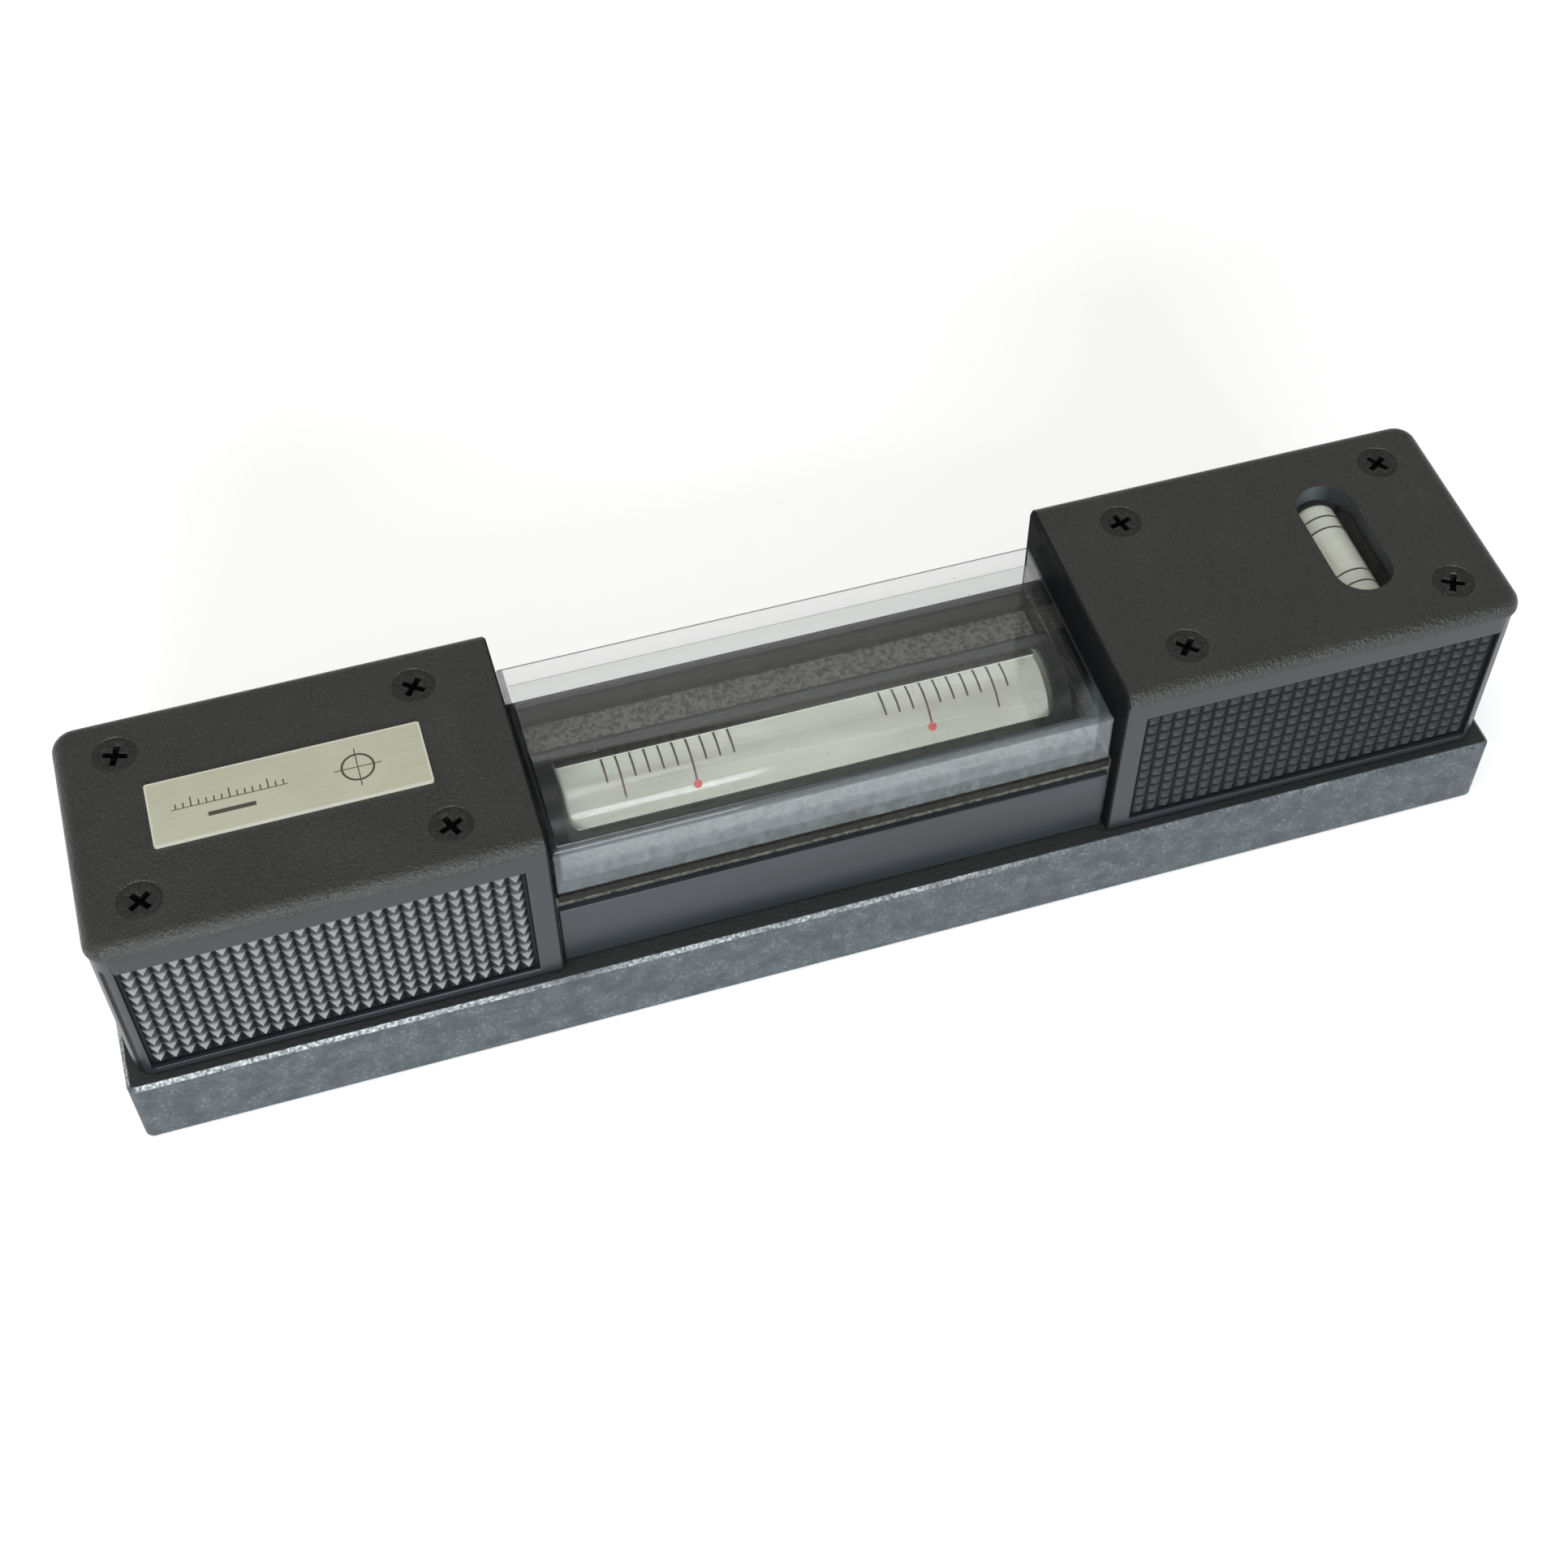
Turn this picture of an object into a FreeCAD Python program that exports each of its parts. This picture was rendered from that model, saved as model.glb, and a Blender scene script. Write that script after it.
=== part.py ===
import FreeCAD, Part
import math
import os
import re

import Sketcher
from FreeCAD import Placement, Rotation, Vector

# Precision machinist level, 200 mm, with two moulded grips over a cast body.
# Millimetres and degrees. X runs along the level, Y away from the reader's side, Z up.
# The origin is the middle of the base's underside.

SIZES = {
    # cast body
    "baseLength": 200.0,
    "baseWidth": 40.5,
    "baseHeight": 12.7,
    "baseCornerRadius": 1.3,
    "baseBevel": 0.5,
    "grooveWidth": 22.0,
    "grooveAngle": 120.0,
    "reliefWidth": 3.0,
    "reliefDepth": 1.0,
    "deckRise": 13.9,
    # grips
    "gripInset": 1.2,
    "gripLength": 59.0,
    "gripSideInset": 1.65,
    "gripRise": 29.9,
    "gripTopThickness": 3.0,
    "gripWall": 2.2,
    "gripEndWall": 2.0,
    "gripFit": 0.2,
    "gripCornerRadius": 3.25,
    "gripCavityRadius": 1.0,
    "gripInnerBevel": 0.35,
    "rimOverhang": 0.25,
    "rimHeight": 2.1,
    "rimRadius": 2.0,
    "skirtGap": 0.4,
    "gripMouthGap": 0.4,
    # pyramid panels of the grips
    "pyramidPitch": 2.0,
    "pyramidHeight": 0.8,
    "pyramidPlinth": 0.05,
    "panelBorder": 0.4,
    "panelInnerInset": 3.8,
    "panelOuterInset": 3.2,
    "panelRise": 2.0,
    "panelDrop": 3.8,
    "panelRoot": 0.3,
    # screws of the grips
    "gripScrewDiameter": 3.0,
    "gripScrewHead": 5.8,
    "gripScrewLength": 11.0,
    "gripScrewInnerInset": 11.1,
    "gripScrewOuterInset": 8.1,
    "gripScrewSideInset": 6.55,
    "screwHoleClearance": 0.1,
    "screwHeadSink": 0.1,
    "tappedHoleRunOut": 1.5,
    # window of the cross vial
    "crossWindowWidth": 8.6,
    "crossWindowMargin": 0.9,
    "crossWindowInset": 19.0,
    # name plate
    "namePlateLength": 36.3,
    "namePlateWidth": 10.4,
    "namePlateThickness": 0.4,
    "namePlateInset": 11.0,
    "namePlateShift": 0.3,
    "namePlateRadius": 0.4,
    # housing tube of the main vial
    "tubeRise": 11.8,
    "tubeDiameter": 16.0,
    "tubeWall": 1.0,
    "tubeEndGap": 0.4,
    "tubeWindowEndMargin": 2.4,
    "tubeWindowAngle": 85.0,
    "tubeWindowTilt": 28.5,
    "tubeWindowFrontRadius": 3.2,
    "tubeWindowRearRadius": 0.5,
    "troughGap": 0.6,
    "troughEndGap": 0.5,
    # main vial
    "vialWall": 1.0,
    "vialSeatGap": 0.1,
    "vialEndGap": 0.6,
    "reflectorThickness": 0.35,
    "reflectorGap": 0.05,
    "liquidGap": 0.02,
    "bubbleLength": 22.0,
    "bubbleDepth": 2.0,
    # ends of the housing tube
    "spigotLength": 2.2,
    "spigotGap": 0.02,
    "tangWidth": 8.0,
    "tangHeight": 4.6,
    "tangDrop": 0.7,
    "tangOverhang": 4.0,
    "tangSideGap": 1.0,
    "tangRiseGap": 1.5,
    "tangEndGap": 2.0,
    # pivot of the tube, in the left block
    "pivotInset": 6.0,
    "pinDiameter": 4.0,
    "pinSideInset": 2.2,
    "pinClearance": 0.03,
    # adjusting screw, in the right block
    "adjustInset": 8.0,
    "spindleDiameter": 4.0,
    "spindleClearance": 0.08,
    "spindleFoot": 4.0,
    "collarDiameter": 8.0,
    "collarHeight": 2.0,
    "collarGap": 0.1,
    "endPlay": 0.05,
    "neckDiameter": 5.0,
    "neckClearance": 0.05,
    "neckStandOff": 0.3,
    "socketWidth": 2.5,
    "socketDepth": 1.8,
    # ring that holds the adjusting screw down
    "ringDiameter": 11.0,
    "ringThickness": 1.5,
    "ringSink": 0.1,
    "ringGap": 0.05,
    "ringSlotWidth": 1.2,
    "ringSlotDepth": 0.8,
    # cross vial and its holder
    "crossVialDiameter": 7.0,
    "crossVialInset": 3.7,
    "crossVialWall": 0.7,
    "crossVialDrop": 5.8,
    "crossBubbleLength": 7.4,
    "crossBubbleDepth": 1.0,
    "holderLength": 12.0,
    "holderSideInset": 3.2,
    "holderHeight": 9.9,
    "holderGap": 0.2,
    "holderTopGap": 0.05,
    "holderEdge": 0.6,
    # clear cover and its seal
    "coverRise": 24.6,
    "coverFootInset": 0.4,
    "coverLean": 0.3,
    "coverWall": 2.0,
    "coverEndWall": 1.2,
    "coverEndGap": 0.6,
    "coverRadius": 1.5,
    "coverInnerRadius": 0.6,
    "gasketThickness": 1.4,
    "gasketSideLip": 4.0,
    "gasketEndLip": 1.25,
    # trim strips on the sides of the rib
    "stripHeight": 11.7,
    "stripFootGap": 0.2,
    "stripThickness": 1.0,
    "stripEndGap": 0.4,
    "stripEdge": 0.25,
}

# Places and sizes that follow from the driving ones.
RULES = {
    "deckTop": "baseHeight + deckRise",
    "gripTop": "baseHeight + gripRise",
    "gripOuter": "baseLength / 2 - gripInset",
    "gripInner": "gripOuter - gripLength",
    "gripFloor": "baseHeight + skirtGap",
    "gripSide": "baseWidth / 2 - gripSideInset",
    "gripEnd": "gripOuter - rimOverhang",
    "cavitySide": "gripSide - gripWall",
    "cavityInner": "gripInner + gripEndWall",
    "cavityOuter": "gripEnd - gripWall",
    "endWallFoot": "deckTop + gripMouthGap",
    "blockTop": "gripTop - gripTopThickness",
    "blockSide": "cavitySide - gripFit",
    "blockInner": "cavityInner + gripFit",
    "blockOuter": "cavityOuter - gripFit",
    "grooveDepth": "grooveWidth / 2 / tan(grooveAngle / 2)",
    "reliefTop": "grooveDepth + reliefDepth",
    "screwInner": "gripInner + gripScrewInnerInset",
    "screwOuter": "gripOuter - gripScrewOuterInset",
    "screwSide": "gripSide - gripScrewSideInset",
    "crossWindowX": "gripOuter - crossWindowInset",
    "fieldStart": "gripInner + panelInnerInset",
    "columnRoom": "gripLength - panelInnerInset - panelOuterInset",
    "pyramidColumns": "floor(columnRoom / pyramidPitch + 0.01)",
    "rowRoom": "gripRise - rimHeight - panelDrop - panelRise",
    "pyramidRows": "floor(rowRoom / pyramidPitch + 0.01)",
    "fieldLength": "pyramidColumns * pyramidPitch",
    "fieldFoot": "baseHeight + panelRise",
    "fieldHeight": "pyramidRows * pyramidPitch",
    "recessDepth": "pyramidHeight + pyramidPlinth",
    "tubeAxis": "baseHeight + tubeRise",
    "tubeBore": "tubeDiameter - 2 * tubeWall",
    "tubeEnd": "coverEnd - coverEndWall - tubeEndGap",
    "tubeWindowEnd": "tubeEnd - tubeWindowEndMargin",
    "vialDiameter": "tubeBore - 2 * (reflectorThickness + reflectorGap + vialSeatGap)",
    "vialEnd": "tubeEnd - spigotLength - vialEndGap",
    "tangMiddle": "tubeAxis - tangDrop",
    "tangEnd": "adjustX + tangOverhang",
    "troughRadius": "tubeDiameter / 2 + troughGap",
    "troughEnd": "tubeEnd + troughEndGap",
    "slotSide": "tangWidth / 2 + tangSideGap",
    "slotFoot": "tangMiddle - tangHeight / 2 - tangRiseGap",
    "slotTop": "tangMiddle + tangHeight / 2 + tangRiseGap",
    "slotEnd": "tangEnd + tangEndGap",
    "pivotX": "blockInner + pivotInset",
    "adjustX": "blockInner + adjustInset",
    "pinEnd": "blockSide - pinSideInset",
    "ringTop": "blockTop - ringSink",
    "ringFoot": "ringTop - ringThickness",
    "collarTop": "ringFoot - endPlay",
    "collarFoot": "collarTop - collarHeight",
    "collarSeat": "collarFoot - endPlay",
    "spindleEnd": "slotFoot - spindleFoot",
    "neckTop": "ringTop - neckStandOff",
    "crossAxis": "gripTop - crossVialDrop",
    "holderSide": "blockSide - holderSideInset",
    "crossVialEnd": "holderSide - crossVialInset",
    "crossWindowEnd": "crossVialEnd + crossWindowMargin",
    "holderTop": "blockTop - holderTopGap",
    "holderFoot": "holderTop - holderHeight",
    "gasketTop": "deckTop + gasketThickness",
    "gasketSide": "blockSide + stripThickness",
    "coverFoot": "gasketSide - coverFootInset",
    "coverShoulder": "coverFoot - coverLean",
    "coverTop": "baseHeight + coverRise",
    "coverEnd": "gripInner - coverEndGap",
    "stripFoot": "baseHeight + stripFootGap",
    "stripEnd": "gripInner - stripEndGap",
}

DOC = FreeCAD.newDocument("MachinistLevel")
SHEET = DOC.addObject("Spreadsheet::Sheet", "Sizes")
for row, (name, size) in enumerate(SIZES.items(), start=1):
    SHEET.set(f"A{row}", name)
    SHEET.set(f"B{row}", str(size))
    SHEET.setAlias(f"B{row}", name)
DOC.recompute()

NEAR = 1e-4
PIECES = []


def expand(rule):
    """The rule as an expression whose names are all cells of the sheet."""
    def cell(match):
        word = match.group(0)
        if word in RULES:
            return "(" + expand(RULES[word]) + ")"
        return "Sizes." + word if word in SIZES else word
    return re.sub(r"[A-Za-z]\w*", cell, str(rule))


def value(rule):
    """The rule's present value, read from the sheet."""
    return float(SHEET.evalExpression(expand(rule)))


def bind(thing, **rules):
    """Ties each named property of a document object to its rule."""
    for name, rule in rules.items():
        thing.setExpression(name, expand(rule))


def bind_place(thing, x="0", y="0", z="0"):
    """Ties the object's place to three rules and leaves its rotation alone."""
    for side, rule in zip("xyz", (x, y, z)):
        thing.setExpression(f"Placement.Base.{side}", expand(rule))


def keep(thing, label):
    """Makes the object one of the level's named pieces."""
    thing.Label = label
    PIECES.append(thing)
    return thing


def runs(axis):
    """Picks straight edges that run along one axis."""
    direction = {"x": Vector(1, 0, 0), "y": Vector(0, 1, 0), "z": Vector(0, 0, 1)}[axis]

    def test(edge):
        if not isinstance(edge.Curve, (Part.Line, Part.LineSegment)):
            return False
        return abs(abs(edge.tangentAt(edge.FirstParameter).dot(direction)) - 1) < NEAR
    return test


def at(axis, *rules):
    """Picks edges that lie wholly at one of these places along the axis."""
    levels = [value(rule) for rule in rules]

    def test(edge):
        box = edge.BoundBox
        low = getattr(box, axis.upper() + "Min")
        high = getattr(box, axis.upper() + "Max")
        return any(abs(low - level) < 0.01 and abs(high - level) < 0.01 for level in levels)
    return test


def beyond(axis, rule):
    """Picks edges whose middle lies past this place along the axis."""
    level = value(rule)
    return lambda edge: getattr(edge.CenterOfMass, axis) > level


def both(*tests):
    """Picks edges that pass every one of the tests."""
    return lambda edge: all(test(edge) for test in tests)


class Outline:
    """Closed outlines for one sketch; every point and radius is given by rules."""

    def __init__(self):
        self.loops = []

    def polygon(self, *points):
        """Straight lines through the points, closed at the end."""
        self.loops.append(("polygon", points))
        return self

    def rectangle(self, low_u, low_v, high_u, high_v):
        """A rectangle between two opposite corners."""
        return self.polygon((low_u, low_v), (high_u, low_v), (high_u, high_v), (low_u, high_v))

    def circle(self, u, v, radius):
        """A full circle."""
        self.loops.append(("circle", (u, v, radius)))
        return self

    def obround(self, u, low_v, high_v, radius):
        """An upright slot with round ends, its end centres at the two heights."""
        self.loops.append(("obround", (u, low_v, high_v, radius)))
        return self

    def rounded(self, low_u, low_v, high_u, high_v, low_radius, high_radius):
        """A rectangle whose two lower corners share one radius and whose two upper corners another."""
        self.loops.append(("rounded", (low_u, low_v, high_u, high_v, low_radius, high_radius)))
        return self

    def draw(self, sketch):
        """Draws every loop into the sketch and ties it to the sheet."""
        for kind, data in self.loops:
            getattr(self, "_" + kind)(sketch, data)

    @staticmethod
    def _fix(sketch, kind, *where, rule):
        size = value(rule)
        number = sketch.addConstraint(Sketcher.Constraint(kind, *where, size))
        sketch.setExpression(f"Constraints[{number}]", expand(rule))

    def _point(self, sketch, geometry, end, u, v):
        self._fix(sketch, "DistanceX", -1, 1, geometry, end, rule=u)
        self._fix(sketch, "DistanceY", -1, 1, geometry, end, rule=v)

    def _polygon(self, sketch, points):
        spots = [Vector(value(u), value(v), 0) for u, v in points]
        first = sketch.GeometryCount
        count = len(points)
        for i in range(count):
            sketch.addGeometry(Part.LineSegment(spots[i], spots[(i + 1) % count]))
        for i in range(count):
            after = first + (i + 1) % count
            sketch.addConstraint(Sketcher.Constraint("Coincident", first + i, 2, after, 1))
        for i, (u, v) in enumerate(points):
            self._point(sketch, first + i, 1, u, v)

    def _circle(self, sketch, data):
        u, v, radius = data
        middle = Vector(value(u), value(v), 0)
        number = sketch.addGeometry(Part.Circle(middle, Vector(0, 0, 1), value(radius)))
        self._point(sketch, number, 3, u, v)
        self._fix(sketch, "Radius", number, rule=radius)

    def _obround(self, sketch, data):
        u, low_v, high_v, radius = data
        x, low, high, r = (value(rule) for rule in data)
        up = Vector(0, 0, 1)
        left, right = x - r, x + r
        foot = Part.ArcOfCircle(Part.Circle(Vector(x, low, 0), up, r), math.pi, 2 * math.pi)
        head = Part.ArcOfCircle(Part.Circle(Vector(x, high, 0), up, r), 0, math.pi)
        bottom = sketch.addGeometry(foot)
        side = sketch.addGeometry(Part.LineSegment(Vector(right, low, 0), Vector(right, high, 0)))
        top = sketch.addGeometry(head)
        back = sketch.addGeometry(Part.LineSegment(Vector(left, high, 0), Vector(left, low, 0)))
        for one, end, other, start in ((bottom, 2, side, 1), (side, 2, top, 1),
                                       (top, 2, back, 1), (back, 2, bottom, 1)):
            sketch.addConstraint(Sketcher.Constraint("Tangent", one, end, other, start))
        self._point(sketch, bottom, 3, u, low_v)
        self._fix(sketch, "DistanceY", -1, 1, top, 3, rule=high_v)
        self._fix(sketch, "Radius", bottom, rule=radius)


    def _rounded(self, sketch, data):
        low_u, low_v, high_u, high_v, low_radius, high_radius = data
        # each corner: its arc's centre, its radius and the quarter turn where it starts
        corners = [(f"{low_u} + {low_radius}", f"{low_v} + {low_radius}", low_radius, 2),
                   (f"{high_u} - {low_radius}", f"{low_v} + {low_radius}", low_radius, 3),
                   (f"{high_u} - {high_radius}", f"{high_v} - {high_radius}", high_radius, 0),
                   (f"{low_u} + {high_radius}", f"{high_v} - {high_radius}", high_radius, 1)]
        arcs = []
        for u, v, radius, quarter in corners:
            middle = Vector(value(u), value(v), 0)
            circle = Part.Circle(middle, Vector(0, 0, 1), value(radius))
            start = quarter * math.pi / 2
            arcs.append(sketch.addGeometry(Part.ArcOfCircle(circle, start, start + math.pi / 2)))
        for i, (u, v, radius, _) in enumerate(corners):
            after = arcs[(i + 1) % 4]
            leave = sketch.getPoint(arcs[i], 2)
            arrive = sketch.getPoint(after, 1)
            side = sketch.addGeometry(Part.LineSegment(leave, arrive))
            sketch.addConstraint(Sketcher.Constraint("Tangent", arcs[i], 2, side, 1))
            sketch.addConstraint(Sketcher.Constraint("Tangent", side, 2, after, 1))
            self._point(sketch, arcs[i], 3, u, v)
            self._fix(sketch, "Radius", arcs[i], rule=radius)


class Piece:
    """A PartDesign body and the features that shape it.

    A feature runs between two places along the plane's axis: Z for the XY plane,
    Y for the XZ plane and X for the YZ plane.
    """

    def __init__(self, label, named=True):
        self.body = DOC.addObject("PartDesign::Body", label)
        self.body.Label = label
        if named:
            PIECES.append(self.body)

    def plane(self, role):
        """One of the body's own origin planes or axes."""
        return next(item for item in self.body.Origin.OriginFeatures if item.Role == role)

    def sketch(self, outline, plane, level):
        """A sketch on an origin plane, moved along the plane's axis to a level."""
        drawing = self.body.newObject("Sketcher::SketchObject", "Sketch")
        drawing.AttachmentSupport = [(self.plane(plane + "_Plane"), "")]
        drawing.MapMode = "FlatFace"
        # The XZ plane faces -Y, so its offset is counted the other way.
        offset = f"-({level})" if plane == "XZ" else level
        drawing.setExpression("AttachmentOffset.Base.z", expand(offset))
        outline.draw(drawing)
        return drawing

    def volume(self):
        """The body's volume after a recompute."""
        DOC.recompute()
        return self.body.Shape.Volume if not self.body.Shape.isNull() else 0.0

    def pad(self, outline, plane, low, high):
        """Adds material between two places along the plane's axis."""
        before = self.volume()
        pad = self.body.newObject("PartDesign::Pad", "Pad")
        # The XZ plane faces -Y, so its sketch stands at the higher place.
        pad.Profile = self.sketch(outline, plane, high if plane == "XZ" else low)
        bind(pad, Length=f"({high}) - ({low})")
        if self.volume() <= before + NEAR:
            raise ValueError(self.body.Label + ": a pad adds nothing")
        return pad

    def pocket(self, outline, plane, low, high):
        """Takes material away between two places along the plane's axis."""
        before = self.volume()
        pocket = self.body.newObject("PartDesign::Pocket", "Pocket")
        # A pocket cuts against its sketch's normal.
        pocket.Profile = self.sketch(outline, plane, low if plane == "XZ" else high)
        bind(pocket, Length=f"({high}) - ({low})")
        if self.volume() >= before - NEAR:
            raise ValueError(self.body.Label + ": a pocket cuts nothing")
        return pocket

    def revolve(self, outline, plane, axis):
        """Turns an outline once round an origin axis."""
        turned = self.body.newObject("PartDesign::Revolution", "Revolution")
        turned.Profile = self.sketch(outline, plane, "0")
        turned.ReferenceAxis = (self.plane(axis + "_Axis"), [""])
        turned.Angle = 360
        DOC.recompute()
        return turned

    def repeat(self, feature, axis, count, pitch):
        """Repeats a feature along an origin axis at an even pitch."""
        pattern = self.body.newObject("PartDesign::LinearPattern", "Pattern")
        pattern.Originals = [feature]
        pattern.Direction = (self.plane(axis + "_Axis"), [""])
        bind(pattern, Occurrences=count, Length=f"({count} - 1) * {pitch}")
        self.body.Tip = pattern
        DOC.recompute()
        return pattern

    def dress(self, kind, size, test, **rules):
        """Adds a fillet or a chamfer to the edges that pass the test."""
        DOC.recompute()
        tip = self.body.Tip
        names = [f"Edge{i + 1}" for i, edge in enumerate(tip.Shape.Edges) if test(edge)]
        if not names:
            raise ValueError(self.body.Label + ": no edge to dress")
        dressing = self.body.newObject("PartDesign::" + kind, kind)
        dressing.Base = (tip, names)
        bind(dressing, **{size: rules["by"]})
        DOC.recompute()
        return dressing

    def fillet(self, radius, test):
        """Rounds the edges that pass the test."""
        return self.dress("Fillet", "Radius", test, by=radius)

    def chamfer(self, size, test):
        """Bevels the edges that pass the test."""
        return self.dress("Chamfer", "Size", test, by=size)

    def place(self, x="0", y="0", z="0"):
        """Moves the finished body to its place on the level."""
        bind_place(self.body, x, y, z)
        return self


def block(low_x, low_y, high_x, high_y):
    """A rectangular outline."""
    return Outline().rectangle(low_x, low_y, high_x, high_y)


def disc(x, y, radius):
    """A round outline."""
    return Outline().circle(x, y, radius)


def combine(kind, label, *parts):
    """A boolean of document objects: Part::Cut, Part::MultiFuse or Part::MultiCommon."""
    result = DOC.addObject(kind, label)
    result.Label = label
    if kind == "Part::Cut":
        result.Base, result.Tool = parts
    else:
        result.Shapes = list(parts)
    DOC.recompute()
    return result


def cast_body():
    """The base bar with its V-groove, the middle rib with the vial's trough, and the end blocks."""
    body = Piece("cast_body")
    half, side = "baseLength / 2", "baseWidth / 2"
    body.pad(block(f"-{half}", f"-{side}", half, side), "XY", "0", "baseHeight")
    body.fillet("baseCornerRadius", runs("z"))
    body.chamfer("baseBevel", at("z", "0", "baseHeight"))

    # side view of the rib between its two end blocks
    steps = Outline().polygon(
        ("-(blockOuter)", "baseHeight"), ("blockOuter", "baseHeight"), ("blockOuter", "blockTop"),
        ("blockInner", "blockTop"), ("blockInner", "deckTop"), ("-(blockInner)", "deckTop"),
        ("-(blockInner)", "blockTop"), ("-(blockOuter)", "blockTop"))
    body.pad(steps, "XZ", "-(blockSide)", "blockSide")
    body.fillet("gripCavityRadius", both(runs("z"), at("x", "blockOuter", "-(blockOuter)")))

    relief = "reliefWidth / 2"
    relief_foot = f"grooveDepth - {relief} / tan(grooveAngle / 2)"
    groove = Outline().polygon(
        ("-grooveWidth / 2", "0"), (f"-{relief}", relief_foot), (f"-{relief}", "reliefTop"),
        (relief, "reliefTop"), (relief, relief_foot), ("grooveWidth / 2", "0"))
    body.pocket(groove, "YZ", f"-{half}", half)

    trough = Outline().obround("0", "tubeAxis", "tubeAxis + tubeDiameter", "troughRadius")
    body.pocket(trough, "YZ", "-(troughEnd)", "troughEnd")
    slot = block("-(slotSide)", "slotFoot", "slotSide", "slotTop")
    body.pocket(slot, "YZ", "troughEnd", "slotEnd")
    body.pocket(slot, "YZ", "-(slotEnd)", "-(troughEnd)")

    # left block: cross hole for the pivot pin
    body.pocket(disc("-(pivotX)", "tangMiddle", "pinDiameter / 2"), "XZ", "-(pinEnd)", "blockSide")

    # right block: the adjusting screw's bore, its collar's seat and the ring's recess
    spindle = "spindleDiameter / 2 + spindleClearance"
    body.pocket(disc("adjustX", "0", spindle), "XY", "spindleEnd - endPlay", "blockTop")
    body.pocket(disc("adjustX", "0", "collarDiameter / 2 + collarGap"), "XY", "collarSeat", "blockTop")
    body.pocket(disc("adjustX", "0", "ringDiameter / 2 + ringGap"), "XY", "ringFoot", "blockTop")

    # right block: the pocket of the cross vial's holder
    length, width = "(holderLength / 2 + holderGap)", "(holderSide + holderGap)"
    pocket = block(f"crossWindowX - {length}", f"-{width}", f"crossWindowX + {length}", width)
    body.pocket(pocket, "XY", "holderFoot", "blockTop")

    # tapped holes of the grips' screws
    holes = Outline()
    for x in ("screwInner", "-(screwInner)", "screwOuter", "-(screwOuter)"):
        for y in ("screwSide", "-(screwSide)"):
            holes.circle(x, y, "gripScrewDiameter / 2")
    foot = "gripTop - screwHeadSink - gripScrewLength - tappedHoleRunOut"
    body.pocket(holes, "XY", foot, "blockTop")


def pyramid_field():
    """One panel of square pyramids on a thin root, facing -Y, its lower left corner at the origin.

    Upright ridges and level ridges are each one tooth repeated at the pitch.
    What the two share is the field of pyramids.
    """
    ridges = []
    for plane, axis, count, length in (("XY", "X", "pyramidColumns", "fieldHeight"),
                                       ("YZ", "Z", "pyramidRows", "fieldLength")):
        piece = Piece("ridges_along_" + axis, named=False)
        span = f"{count} * pyramidPitch"
        crest, floor = "-(recessDepth)", "-pyramidPlinth"
        if plane == "XY":
            slab = block("0", floor, span, "panelRoot")
            tooth = Outline().polygon(("0", floor), ("pyramidPitch / 2", crest), ("pyramidPitch", floor))
        else:
            slab = block(floor, "0", "panelRoot", span)
            tooth = Outline().polygon((floor, "0"), (floor, "pyramidPitch"), (crest, "pyramidPitch / 2"))
        piece.pad(slab, plane, "0", length)
        piece.repeat(piece.pad(tooth, plane, "0", length), axis, count, "pyramidPitch")
        ridges.append(piece.body)
    return combine("Part::MultiCommon", "pyramid_field", *ridges)


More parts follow.
